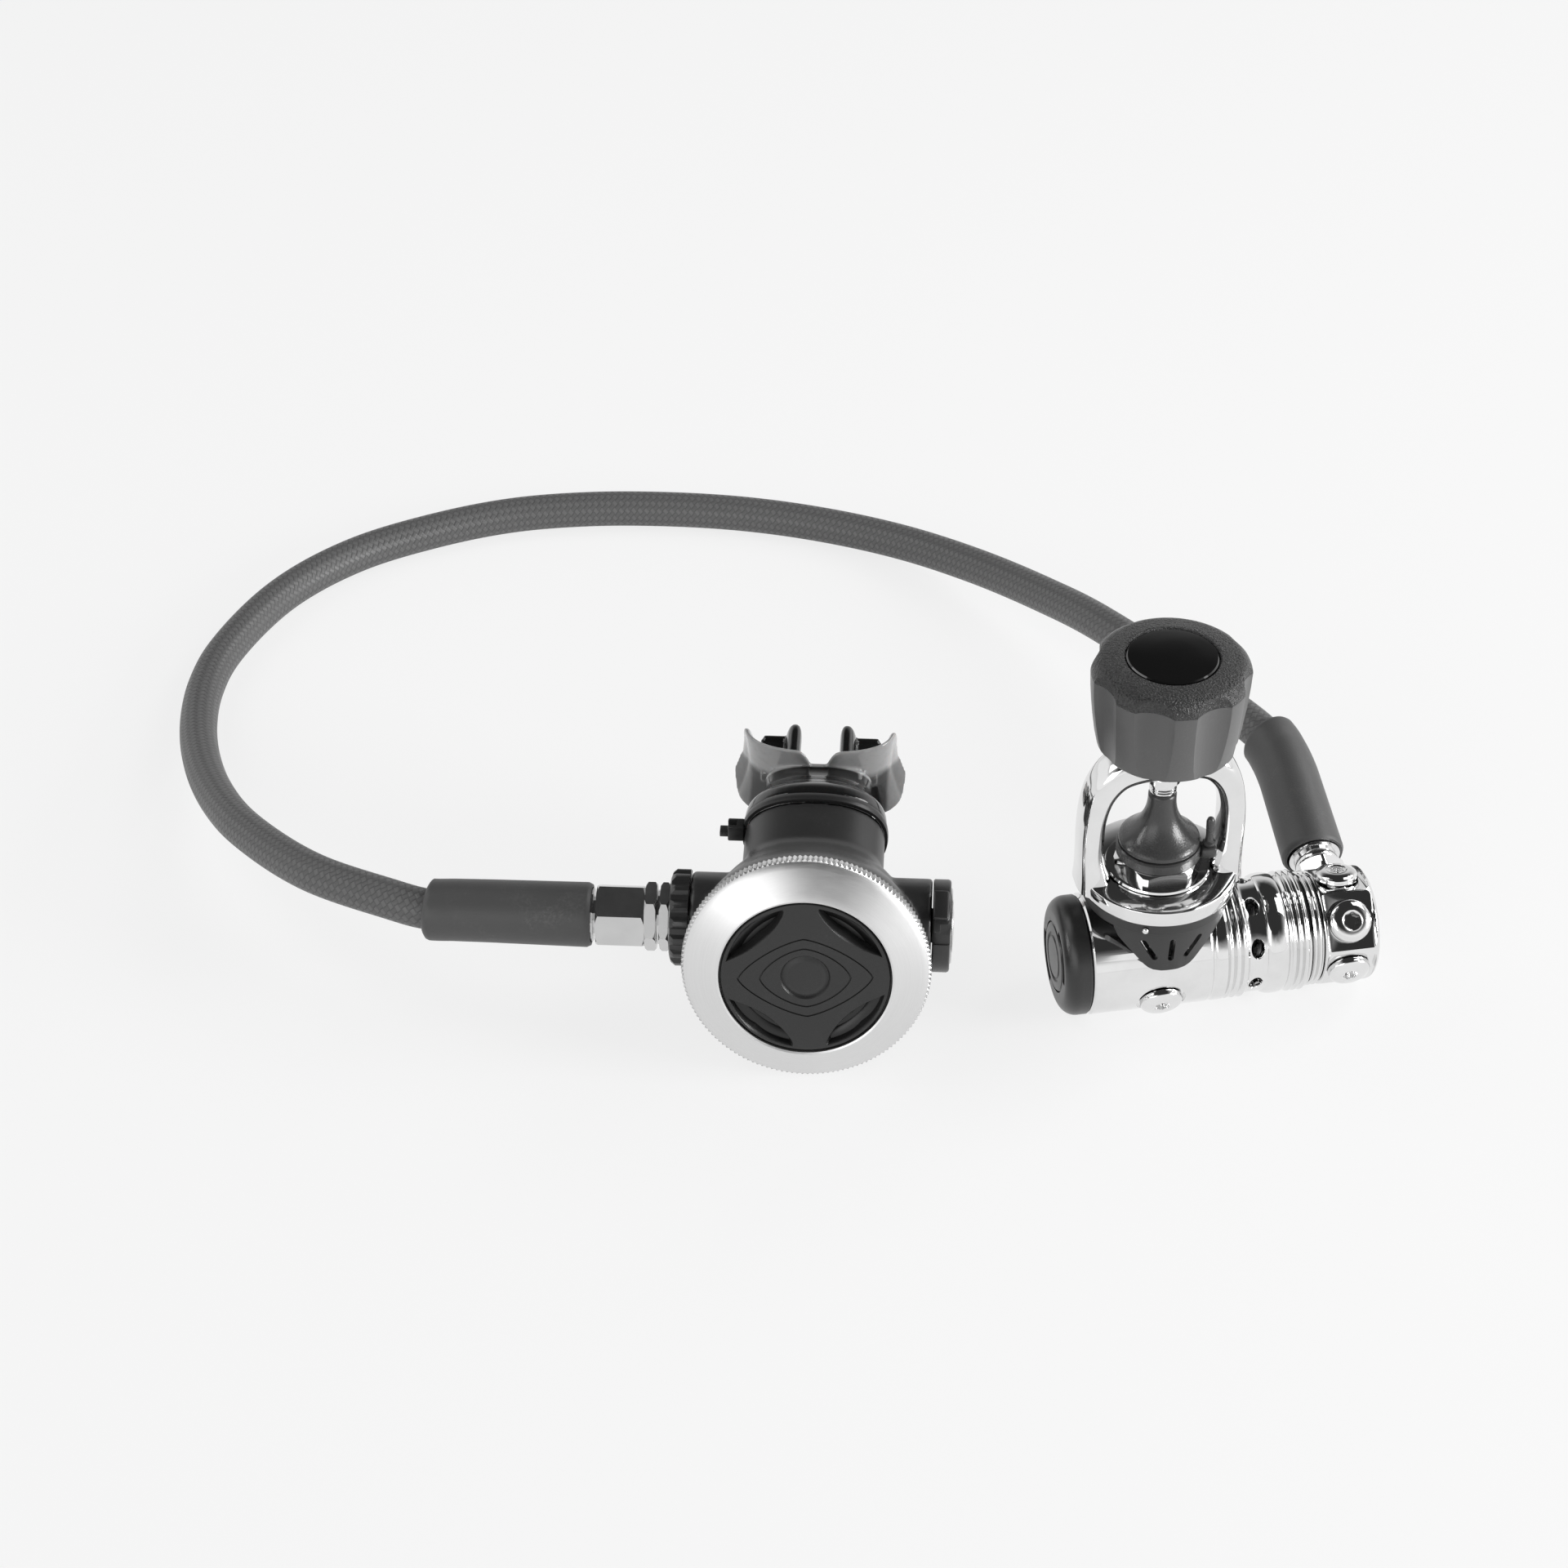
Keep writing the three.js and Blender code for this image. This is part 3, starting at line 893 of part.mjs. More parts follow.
function flange() {
  const bend = (v) => Math.sign(v) * Math.abs(v) ** (2 / 2.6);
  const ring = (z, out, behind) => {
    const line = Array.from({ length: FLANGE_STEPS + 1 }, (_, i) => {
      const angle = (1 + i / FLANGE_STEPS) * Math.PI;
      const [c, s] = [bend(Math.cos(angle)), bend(Math.sin(angle))];
      return at((FLANGE_HALF_WIDTH + out) * c, FLANGE_BACK + (FLANGE_DEPTH + out) * s, z);
    });
    const side = FLANGE_HALF_WIDTH + out;
    return [...line, at(side, FLANGE_BACK + behind, z), at(-side, FLANGE_BACK + behind, z)];
  };
  const [low, high] = [FLANGE_LEAN[0], FLANGE_LEAN.at(-1)];
  const tall = [[low[0] - 1, low[1]], ...FLANGE_LEAN.slice(1, -1), [high[0] + 1, high[1]]];
  const outside = solid(lofted(FLANGE_LEAN.map(([z, out]) => ring(z, out, 0.01))));
  const inside = solid(lofted(tall.map(([z, out]) => ring(z, out - FLANGE_WALL, 1))));
  const ends = solid(prism('x', [
    [MOUTH, -12], [MOUTH + 31, -12], [MOUTH + 36, -8.5], [MOUTH + 38.2, -3], [MOUTH + 38.2, 6.5],
    [MOUTH + 36, 11], [MOUTH + 33, FLANGE_TOP + 1], [MOUTH, FLANGE_TOP + 1],
  ], -30, 30));
  return { wall: outside.subtract(inside).intersect(ends), inside };
}

function mouthpiece() {
  const ovals = (rows) => lofted(rows.map(([y, rx, rz]) => oval(MOUTH + y, 0, rx, rz, 2.3, MEDIUM)));
  const neck = ovals([[0, 20.3, 13.8], [3.7, 20.3, 13.8], [3.8, 21.3, 14.8], [8.5, 21.2, 14.6],
    [12.5, 19, 12.5], [15.5, 17.3, 10.6], [19, 16.2, 8.6], [23, 15.8, 7.6], [28.5, 15.8, 7.6]]);
  const socket = ovals([[-1, OUTLET_RX - 0.8, OUTLET_RZ - 0.8], [9.4, OUTLET_RX - 0.8, OUTLET_RZ - 0.8]]);
  const passage = ovals([[9, 17, 10.5], [14, 12.5, 7.4], [20, 10.5, 6], [27, 9.5, 5.4]]);
  const { wall, inside } = flange();
  const notch = prism('y', [[-1.6, 5.3], [1.6, 5.3], [6, 14], [-6, 14]], MOUTH + 22, MOUTH + 30);
  const shell = cut(solid(neck).subtract(inside).add(wall), notch);
  const root = FLANGE_BACK - FLANGE_DEPTH + FLANGE_WALL / 2;
  const tabs = [-1, 1].flatMap((side) => {
    const outline = [[17.6, root + 2.5], [18, TAB_END - 2], [17, TAB_END - 0.6], [7, TAB_END], [6.6, root]];
    const shelf = prism('z', side < 0 ? outline.map(([x, y]) => [-x, y]) : outline, -1.5, 1.5);
    const post = prism('x', [[root, -3.6], [TAB_END - 3, -3.6], [TAB_END, -2], [TAB_END + 0.5, 2],
      [TAB_END, 6], [TAB_END - 2, 7.4], [root + 4, 5], [root, 3]], side * 8.2 - 2, side * 8.2 + 2);
    return [shelf, post];
  });
  return geometryOf(cut(join(shell, ...tabs), socket, passage));
}
mesh(outlet, 'mouthpiece', mouthpiece(), SILICONE);

function mouthpieceTie() {
  const ring = (rx, rz) => [MOUTH + 0.4, MOUTH + 3.5].map((y) => oval(y, 0, rx, rz, 2.3, MEDIUM));
  const band = solid(lofted(ring(21.7, 15.2)));
  const buckle = box(-28.4, -21, MOUTH - 1.4, MOUTH + 3.4, -1, 4.6);
  return geometryOf(join(band, buckle).subtract(solid(lofted([
    oval(MOUTH - 2, 0, 20.6, 14.1, 2.3, MEDIUM), oval(MOUTH + 6, 0, 20.6, 14.1, 2.3, MEDIUM)]))));
}
mesh(outlet, 'mouthpiece_tie', mouthpieceTie(), BLACK_PLASTIC);

// The hose's ferrule and stem, inside the swivel nut and the sleeve.
const STEM_END = STUB_END - GAP;
const FERRULE_RIGHT = NUT_LEFT - 0.6;
mesh(second, 'hose_end_second', turned('x', [
  [2, FERRULE_RIGHT - FERRULE_LENGTH], [FERRULE_R, FERRULE_RIGHT - FERRULE_LENGTH],
  [FERRULE_R, FERRULE_RIGHT], [STUB_R - 0.4, FERRULE_RIGHT], [STUB_R - 0.4, STEM_END], [2, STEM_END],
], MEDIUM), MIRROR);

export default regulator;
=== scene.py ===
"""Looks of a scuba regulator set: yoke first stage, braided hose and demand second stage.

Every class below is one sub-assembly. It holds its sizes in millimetres, builds its pieces in
its own working frame and places them, finished and dressed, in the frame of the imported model.
"""

import json
import logging
import math
from dataclasses import dataclass, field
from enum import Enum
from typing import Callable, Iterable, Sequence

import bpy
from mathutils import Matrix, Vector

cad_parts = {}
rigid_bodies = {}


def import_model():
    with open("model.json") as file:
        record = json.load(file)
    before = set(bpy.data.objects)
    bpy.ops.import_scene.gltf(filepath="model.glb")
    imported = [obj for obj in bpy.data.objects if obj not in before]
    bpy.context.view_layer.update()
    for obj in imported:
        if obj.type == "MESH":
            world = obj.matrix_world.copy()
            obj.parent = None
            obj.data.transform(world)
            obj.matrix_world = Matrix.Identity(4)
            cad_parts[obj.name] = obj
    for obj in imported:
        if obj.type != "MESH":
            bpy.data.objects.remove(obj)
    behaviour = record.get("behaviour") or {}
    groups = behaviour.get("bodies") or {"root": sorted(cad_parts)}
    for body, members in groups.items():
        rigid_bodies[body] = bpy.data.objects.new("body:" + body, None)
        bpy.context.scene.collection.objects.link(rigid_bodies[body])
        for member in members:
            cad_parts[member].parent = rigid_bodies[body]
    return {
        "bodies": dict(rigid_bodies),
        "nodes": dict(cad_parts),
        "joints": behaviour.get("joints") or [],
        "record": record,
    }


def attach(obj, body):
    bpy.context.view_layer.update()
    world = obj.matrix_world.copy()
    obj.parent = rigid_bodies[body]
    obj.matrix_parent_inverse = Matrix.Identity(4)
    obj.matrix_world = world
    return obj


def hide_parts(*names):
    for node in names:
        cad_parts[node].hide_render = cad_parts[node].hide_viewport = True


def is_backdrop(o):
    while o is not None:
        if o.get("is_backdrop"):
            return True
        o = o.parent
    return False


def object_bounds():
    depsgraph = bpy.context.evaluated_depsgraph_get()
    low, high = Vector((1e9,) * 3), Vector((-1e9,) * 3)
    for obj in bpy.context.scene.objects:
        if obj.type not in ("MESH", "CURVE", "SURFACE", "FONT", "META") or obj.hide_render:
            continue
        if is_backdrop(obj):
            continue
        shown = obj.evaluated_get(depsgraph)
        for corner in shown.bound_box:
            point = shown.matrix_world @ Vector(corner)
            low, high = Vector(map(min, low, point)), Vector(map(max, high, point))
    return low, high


log = logging.getLogger("regulator")

# one millimetre in metres, and the millimetres in a metre
MM = 0.001
PER_METRE = 1000
# the clearance between neighbouring solids, in millimetres
GAP = 0.3
# faces round a turned piece: a wide one, the usual one, a narrower one, a small one and a bore
FACES_FINE = 128
FACES_ROUND = 96
FACES_MIDDLE = 72
FACES_SMALL = 64
FACES_BORE = 32
# one whole turn in radians
TURN = 2 * math.pi
Piece = bpy.types.Object
Flat = tuple[float, float]
Spot = tuple[float, float, float]
Row = tuple[float, float, float, float]


class Axis(Enum):
    """The direction a piece is turned or drawn along."""

    X = (1.0, 0.0, 0.0)
    Y = (0.0, 1.0, 0.0)
    Z = (0.0, 0.0, 1.0)

    def lay(self, first: float, second: float, along: float) -> Spot:
        """Put a flat point and a distance along the axis into space.

        Args:
            first: The flat point's first number: y for X, x for Y and Z.
            second: The flat point's second number: z for X and Y, y for Z.
            along: The distance along the axis.

        Returns:
            The point in space.
        """
        if self is Axis.X:
            return (along, first, second)
        if self is Axis.Y:
            return (first, along, second)
        return (first, second, along)


# ------------------------------------------------------------------ working frames
def spun(degrees: float, axis: str) -> Matrix:
    """Give the matrix of a turn about X, Y or Z."""
    return Matrix.Rotation(math.radians(degrees), 4, axis)


@dataclass(frozen=True)
class Stand:
    """Where a sub-assembly stands in the set, in millimetres and degrees."""

    at: Spot
    yaw: float = 0.0
    tilt: float = 0.0

    def matrix(self) -> Matrix:
        """Give the frame's matrix, still in millimetres."""
        yaw = spun(self.yaw, "Z")
        tilt = spun(self.tilt, "X")
        return Matrix.Translation(self.at) @ yaw @ tilt


FIRST = Stand(at=(48.22, -16.22, 17.778), yaw=10.0)
SECOND = Stand(at=(-52.73, -26.18, 35.38), yaw=-2.9, tilt=-9.5)
OUTLET = Stand(at=(0.0, 16.0, 4.5), tilt=12.0)


def outlet_matrix() -> Matrix:
    """Give the frame of the oval outlet, which the mouthpiece shares."""
    return SECOND.matrix() @ OUTLET.matrix()


# ------------------------------------------------------------------ modelling bench
class Bench:
    """The modelling operators, one call for each step of hand work."""

    @staticmethod
    def clear() -> None:
        """Leave edit mode and deselect everything."""
        held = bpy.context.view_layer.objects.active
        if held is not None and held.mode != "OBJECT":
            bpy.ops.object.mode_set(mode="OBJECT")
        bpy.ops.object.select_all(action="DESELECT")

    @classmethod
    def hold(cls, piece: Piece) -> None:
        """Select one piece alone and make it the active one."""
        cls.clear()
        piece.select_set(True)
        bpy.context.view_layer.objects.active = piece

    @classmethod
    def open(cls, piece: Piece) -> None:
        """Open a piece in edit mode with all of it selected."""
        cls.hold(piece)
        bpy.ops.object.mode_set(mode="EDIT")
        bpy.ops.mesh.select_all(action="SELECT")

    @classmethod
    def close(cls, merge: float = 1e-4) -> Piece:
        """Merge doubled corners, point all faces outwards and leave edit mode.

        Args:
            merge: Corners nearer than this become one, in the mesh's units.

        Returns:
            The piece that was open.
        """
        bpy.ops.mesh.select_all(action="SELECT")
        bpy.ops.mesh.remove_doubles(threshold=merge)
        bpy.ops.mesh.normals_make_consistent(inside=False)
        bpy.ops.object.mode_set(mode="OBJECT")
        return bpy.context.view_layer.objects.active

    @classmethod
    def chain(cls, points: Sequence[Spot], loop: bool = False) -> Piece:
        """Draw a chain of edges by extruding one corner from point to point.

        Args:
            points: The corners, in order.
            loop: Whether the chain comes back to its first corner.

        Returns:
            The chain, left open in edit mode and all selected.
        """
        cls.clear()
        bpy.ops.mesh.primitive_plane_add(size=1.0, location=(0.0, 0.0, 0.0))
        bpy.ops.object.mode_set(mode="EDIT")
        bpy.ops.mesh.select_all(action="SELECT")
        bpy.ops.mesh.merge(type="CENTER")
        bpy.ops.transform.translate(value=points[0])
        route = list(points) + ([points[0]] if loop else [])
        for here, there in zip(route, route[1:]):
            step = Vector(there) - Vector(here)
            bpy.ops.mesh.extrude_region_move(TRANSFORM_OT_translate={"value": step})
        bpy.ops.mesh.select_all(action="SELECT")
        bpy.ops.mesh.remove_doubles(threshold=1e-5)
        return bpy.context.view_layer.objects.active

    @classmethod
    def turned(cls, axis: Axis, profile: Sequence[Flat], steps: int = FACES_ROUND,
               loop: bool = False) -> Piece:
        """Spin a profile round an axis, as on a lathe.

        Args:
            axis: The axis of the lathe.
            profile: Points of radius and distance along the axis.
            steps: Faces round the piece.
            loop: Whether the profile closes on itself, as for a pipe.

        Returns:
            The turned piece.
        """
        side = {Axis.X: (0, -1), Axis.Y: (1, 0), Axis.Z: (0, -1)}[axis]
        cls.chain([axis.lay(side[0] * r, side[1] * r, t) for r, t in profile], loop)
        bpy.ops.mesh.spin(steps=steps, angle=TURN, center=(0, 0, 0), axis=axis.value)
        return cls.close()

    @classmethod
    def rod(cls, axis: Axis, radius: float, low: float, high: float, steps: int = FACES_ROUND) -> Piece:
        """Turn a plain round bar from one end to the other."""
        return cls.turned(axis, [(0, low), (radius, low), (radius, high), (0, high)], steps)

    @classmethod
    def prism(cls, axis: Axis, outline: Sequence[Flat], low: float, high: float) -> Piece:
        """Draw a flat outline, fill it and extrude it along an axis.

        Args:
            axis: The direction of the extrusion.
            outline: Flat points, as Axis.lay takes them.
            low: Where the extrusion starts.
            high: Where it ends.

        Returns:
            The prism.
        """
        cls.chain([axis.lay(a, b, low) for a, b in outline], loop=True)
        bpy.ops.mesh.edge_face_add()
        step = Vector(axis.value) * (high - low)
        bpy.ops.mesh.extrude_region_move(TRANSFORM_OT_translate={"value": step})
        return cls.close()

    @classmethod
    def block(cls, low: Spot, high: Spot, round_edges: float = 0.0) -> Piece:
        """Add a block between two corners, its edges rounded if asked."""
        cls.clear()
        middle = [(a + b) / 2 for a, b in zip(low, high)]
        bpy.ops.mesh.primitive_cube_add(size=1.0, location=middle)
        bpy.ops.object.mode_set(mode="EDIT")
        bpy.ops.mesh.select_all(action="SELECT")
        bpy.ops.transform.resize(value=[b - a for a, b in zip(low, high)])
        if round_edges:
            bpy.ops.mesh.bevel(offset=round_edges, segments=3)
        return cls.close()

    @classmethod
    def skin(cls, round_steps: int, long_steps: int, shape: Callable[[float, float], Spot],
             capped: bool = True) -> Piece:
        """Wrap a grid round a form that is given by a rule, keeping the grid's UV map.

        Args:
            round_steps: Faces round the form.
            long_steps: Faces along it.
            shape: Gives a point from two numbers of 0 to 1, round and along.
            capped: Whether the two open ends are filled.

        Returns:
            The closed skin.
        """
        cls.clear()
        bpy.ops.mesh.primitive_grid_add(x_subdivisions=round_steps, y_subdivisions=long_steps, size=1.0,
                                        calc_uvs=True, location=(0.0, 0.0, 0.0))
        piece = bpy.context.view_layer.objects.active
        for corner in piece.data.vertices:
            corner.co = shape(corner.co.x + 0.5, corner.co.y + 0.5)
        cls.open(piece)
        bpy.ops.mesh.remove_doubles(threshold=1e-4)
        if capped:
            bpy.ops.mesh.fill_holes(sides=0)
        return cls.close()

    @classmethod
    def modify(cls, piece: Piece, kind: str, **settings: object) -> Piece:
        """Add one modifier, set it and apply it.

        Args:
            piece: The piece to change.
            kind: The modifier's type.
            **settings: The modifier's settings.

        Returns:
            The same piece.
        """
        cls.hold(piece)
        step = piece.modifiers.new(kind.lower(), kind)
        for key, value in settings.items():
            setattr(step, key, value)
        bpy.ops.object.modifier_apply(modifier=step.name)
        return piece

    @classmethod
    def bevel(cls, piece: Piece, width: float, angle: float = 35.0, segments: int = 2) -> Piece:
        """Round the edges that are sharper than an angle."""
        return cls.modify(piece, "BEVEL", width=width, segments=segments, limit_method="ANGLE",
                          angle_limit=math.radians(angle), use_clamp_overlap=True)

    @classmethod
    def combine(cls, piece: Piece, tools: Iterable[Piece], how: str) -> Piece:
        """Join, cut or intersect a piece with tools, which are used up.

        Args:
            piece: The piece that stays.
            tools: The other pieces.
            how: UNION, DIFFERENCE or INTERSECT.

        Returns:
            The piece that stays.
        """
        for tool in tools:
            cls.modify(piece, "BOOLEAN", operation=how, object=tool, solver="EXACT")
            bpy.data.objects.remove(tool, do_unlink=True)
        return piece

    @classmethod
    def cut(cls, piece: Piece, *tools: Piece) -> Piece:
        """Cut tools out of a piece."""
        return cls.combine(piece, tools, "DIFFERENCE")

    @classmethod
    def join(cls, piece: Piece, *tools: Piece) -> Piece:
        """Unite a piece with others."""
        return cls.combine(piece, tools, "UNION")

    @classmethod
    def common(cls, piece: Piece, *tools: Piece) -> Piece:
        """Keep what a piece shares with others."""
        return cls.combine(piece, tools, "INTERSECT")

    @classmethod
    def moved(cls, piece: Piece, matrix: Matrix) -> Piece:
        """Move a piece by a matrix and apply the move to its mesh."""
        cls.hold(piece)
        piece.matrix_world = matrix @ piece.matrix_world
        bpy.ops.object.transform_apply(location=True, rotation=True, scale=True)
        return piece

    @classmethod
    def copied(cls, piece: Piece) -> Piece:
        """Copy a piece with a mesh of its own."""
        cls.hold(piece)
        bpy.ops.object.duplicate(linked=False)
        return bpy.context.view_layer.objects.active

    @classmethod
    def melted(cls, piece: Piece, grain: float, rounds: int) -> Piece:
        """Rebuild a piece from small cubes and smooth it, which fillets every inner corner.

        Args:
            piece: The piece, in millimetres.
            grain: The size of the cubes.
            rounds: How often the corners are averaged.

        Returns:
            The same piece.
        """
        cls.hold(piece)
        piece.data.remesh_voxel_size = grain
        piece.data.remesh_voxel_adaptivity = 0.0
        bpy.ops.object.voxel_remesh()
        return cls.modify(piece, "SMOOTH", factor=0.5, iterations=rounds)


class Draw:
    """Outlines and profiles as lists of flat points."""

    @staticmethod
    def arc(middle: Flat, radii: Flat, start: float, end: float, steps: int) -> list[Flat]:
        """Give the points of an arc.

        Args:
            middle: The arc's centre.
            radii: Its two radii.
            start: The first angle in degrees.
            end: The last angle.
            steps: How many straight runs it has.

        Returns:
            The points, one more than the steps.
        """
        angles = [math.radians(start + (end - start) * i / steps) for i in range(steps + 1)]
        return [(middle[0] + radii[0] * math.cos(a), middle[1] + radii[1] * math.sin(a)) for a in angles]

    @classmethod
    def hexagon(cls, across: float, turn: float = 0.0) -> list[Flat]:
        """Give a hexagon by its width across flats."""
        r = across / math.sqrt(3)
        return cls.arc((0, 0), (r, r), turn, turn + 300, 5)

    @staticmethod
    def polar(radius: float, angle: float) -> Flat:
        """Give a point by its distance and its direction."""
        return (radius * math.cos(angle), radius * math.sin(angle))

    @staticmethod
    def mirrored(rows: Sequence[tuple]) -> list[tuple]:
        """Give rows from the last to the first, on the other side of the middle."""
        return [(-across, *rest) for across, *rest in reversed(rows)]

    @staticmethod
    def raised(start: float, points: Iterable[Flat]) -> list[Flat]:
        """Give points whose second measure is counted from a start."""
        return [(across, start + along) for across, along in points]

    @staticmethod
    def ripple(start: float, end: float, ribs: int, low: float, high: float, steps: int = 8) -> list[Flat]:
        """Give the profile of turned ribs, as radius and distance.

        Args:
            start: Where the first rib starts.
            end: Where the last rib ends.
            ribs: How many ribs there are.
            low: The radius in the valleys.
            high: The radius on the crests.
            steps: Points to a rib.

        Returns:
            The profile's points.
        """
        count = ribs * steps
        wave = [0.5 - 0.5 * math.cos(TURN * i / steps) for i in range(count + 1)]
        return [(low + (high - low) * w ** 0.6, start + (end - start) * i / count)
                for i, w in enumerate(wave)]

    @staticmethod
    def through(points: Sequence[Sequence[float]], steps: int) -> list[tuple[float, ...]]:
        """Run a smooth curve through points of any number of values.

        Args:
            points: The points to pass through.
            steps: Straight runs between one point and the next.

        Returns:
            The curve's points.
        """
        curve: list[tuple[float, ...]] = []
        for i in range(len(points) - 1):
            near = [points[max(i - 1, 0)], points[i], points[i + 1], points[min(i + 2, len(points) - 1)]]
            for k in range(steps):
                t = k / steps
                weights = ((-t + 2 * t * t - t ** 3) / 2, (2 - 5 * t * t + 3 * t ** 3) / 2,
                           (t + 4 * t * t - 3 * t ** 3) / 2, (-t * t + t ** 3) / 2)
                curve.append(tuple(sum(w * p[j] for w, p in zip(weights, near))
                                   for j in range(len(points[0]))))
        curve.append(tuple(points[-1]))
        return curve

    @staticmethod
    def oval(turn: float, rx: float, rz: float, power: float = 2.0) -> Flat:
        """Give a point of a squared-off ellipse; a power of 2 is a plain one."""
        c, s = math.cos(turn), math.sin(turn)
        return (rx * math.copysign(abs(c) ** (2 / power), c), rz * math.copysign(abs(s) ** (2 / power), s))


# ------------------------------------------------------------------ shader nodes
class Wire:
    """A shader socket that does sums: an expression on wires adds its Math nodes."""

    def __init__(self, shop: "NodeShop", socket: bpy.types.NodeSocket) -> None:
        """Keep the socket and the shop it belongs to."""
        self.shop = shop
        self.socket = socket

    def _sum(self, kind: str, *values: object) -> "Wire":
        """Add one Math node for a sum of one or two values."""
        return self.shop.add("ShaderNodeMath", {"operation": kind}, dict(enumerate(values)))

    def __add__(self, other: object) -> "Wire":
        """Add."""
        return self._sum("ADD", self, other)

    __radd__ = __add__

    def __sub__(self, other: object) -> "Wire":
        """Subtract."""
        return self._sum("SUBTRACT", self, other)

    def __rsub__(self, other: object) -> "Wire":
        """Subtract from a number."""
        return self._sum("SUBTRACT", other, self)

    def __mul__(self, other: object) -> "Wire":
        """Multiply."""
        return self._sum("MULTIPLY", self, other)

    __rmul__ = __mul__

    def clipped(self) -> "Wire":
        """Keep the value between 0 and 1."""
        return self.shop.add("ShaderNodeClamp", {}, {0: self})

    def fraction(self) -> "Wire":
        """Keep the part after the decimal point."""
        return self._sum("FRACT", self)

    def floor(self) -> "Wire":
        """Round down."""
        return self._sum("FLOOR", self)

    def size(self) -> "Wire":
        """Drop the sign."""
        return self._sum("ABSOLUTE", self)

    def above(self, edge: float) -> "Wire":
        """Give 1 where the value is above an edge, else 0."""
        return self._sum("GREATER_THAN", self, edge)

    def ramp(self, low: float, high: float) -> "Wire":
        """Rise softly from 0 at one value to 1 at another."""
        return self.shop.add("ShaderNodeMapRange", {"interpolation_type": "SMOOTHSTEP"},
                             {0: self, 1: low, 2: high, 3: 0.0, 4: 1.0})


class NodeShop:
    """The node tree of one material or world."""

    def __init__(self, tree: bpy.types.NodeTree) -> None:
        """Empty the tree and keep it."""
        self.tree = tree
        tree.nodes.clear()

    def add(self, kind: str, settings: dict[str, object], inputs: dict[object, object],
            output: object = 0) -> Wire:
        """Add one node of any type.

        Args:
            kind: The node's type.
            settings: Its own settings, which are set first.
            inputs: Values or wires for its sockets, by name or number.
            output: The socket to hand back.

        Returns:
            The chosen output as a wire.
        """
        node = self.tree.nodes.new(kind)
        for key, value in settings.items():
            setattr(node, key, value)
        for key, value in inputs.items():
            if isinstance(value, Wire):
                self.tree.links.new(value.socket, node.inputs[key])
            else:
                node.inputs[key].default_value = value
        return Wire(self, node.outputs[output])

    def end(self, surface: Wire, kind: str = "ShaderNodeOutputMaterial") -> None:
        """Lead a surface to the tree's output."""
        self.tree.links.new(surface.socket, self.tree.nodes.new(kind).inputs["Surface"])

    def ray(self, kind: str) -> Wire:
        """Give 1 to one kind of ray and 0 to the rest."""
        return self.add("ShaderNodeLightPath", {}, {}, f"Is {kind} Ray")

    def place(self) -> Wire:
        """Give the Object coordinates, in metres."""
        return self.add("ShaderNodeTexCoord", {}, {}, "Object")

    def parts(self, vector: Wire) -> tuple[Wire, Wire, Wire]:
        """Split a vector into its three numbers."""
        first = self.add("ShaderNodeSeparateXYZ", {}, {0: vector})
        outputs = first.socket.node.outputs
        return first, Wire(self, outputs[1]), Wire(self, outputs[2])

    def along(self, vector: Wire, row: Sequence[float]) -> Wire:
        """Give how far a place lies along a direction, past an offset in millimetres."""
        reach = self.add("ShaderNodeVectorMath", {"operation": "DOT_PRODUCT"}, {0: vector, 1: tuple(row[:3])},
                         "Value")
        return reach + row[3] * MM

    def noise(self, where: Wire, size_mm: float, detail: float = 3.0, rough: float = 0.5) -> Wire:
        """Give soft noise of about a given size.

        Args:
            where: The coordinates.
            size_mm: The size of its blobs.
            detail: How many finer layers are added.
            rough: How strong the finer layers are.

        Returns:
            A value round 0.5.
        """
        return self.add("ShaderNodeTexNoise", {}, {"Vector": where, "Scale": 1 / (size_mm * MM),
                                                   "Detail": detail, "Roughness": rough})

    def blend(self, share: object, first: object, second: object) -> Wire:
        """Mix two colours by a share of 0 to 1."""
        return self.add("ShaderNodeMix", {"data_type": "RGBA"}, {0: share, 6: first, 7: second}, 2)

    def bump(self, height: Wire, depth_mm: float) -> Wire:
        """Turn a height of 0 to 1 into a bumped normal."""
        return self.add("ShaderNodeBump", {}, {"Height": height, "Distance": depth_mm * MM, "Strength": 1.0})


def grey(value: float) -> tuple[float, float, float, float]:
    """Give a grey as a colour."""
    return (value, value, value, 1.0)


@dataclass(frozen=True)
class Finish:
    """What all finishes share: a name and the values of a plain surface."""

    name: str
    base: float
    roughness: float

    def sockets(self, shop: NodeShop) -> dict[str, object]:
        """Give the values and wires of the surface's sockets."""
        return {"Base Color": grey(self.base), "Roughness": self.roughness}

    def material(self) -> bpy.types.Material:
        """Build the material once and hand the same one back later."""
        known = bpy.data.materials.get(self.name)
        if known is not None:
            return known
        made = bpy.data.materials.new(self.name)
        made.use_nodes = True
        shop = NodeShop(made.node_tree)
        shop.end(shop.add("ShaderNodeBsdfPrincipled", {}, self.sockets(shop)))
        return made


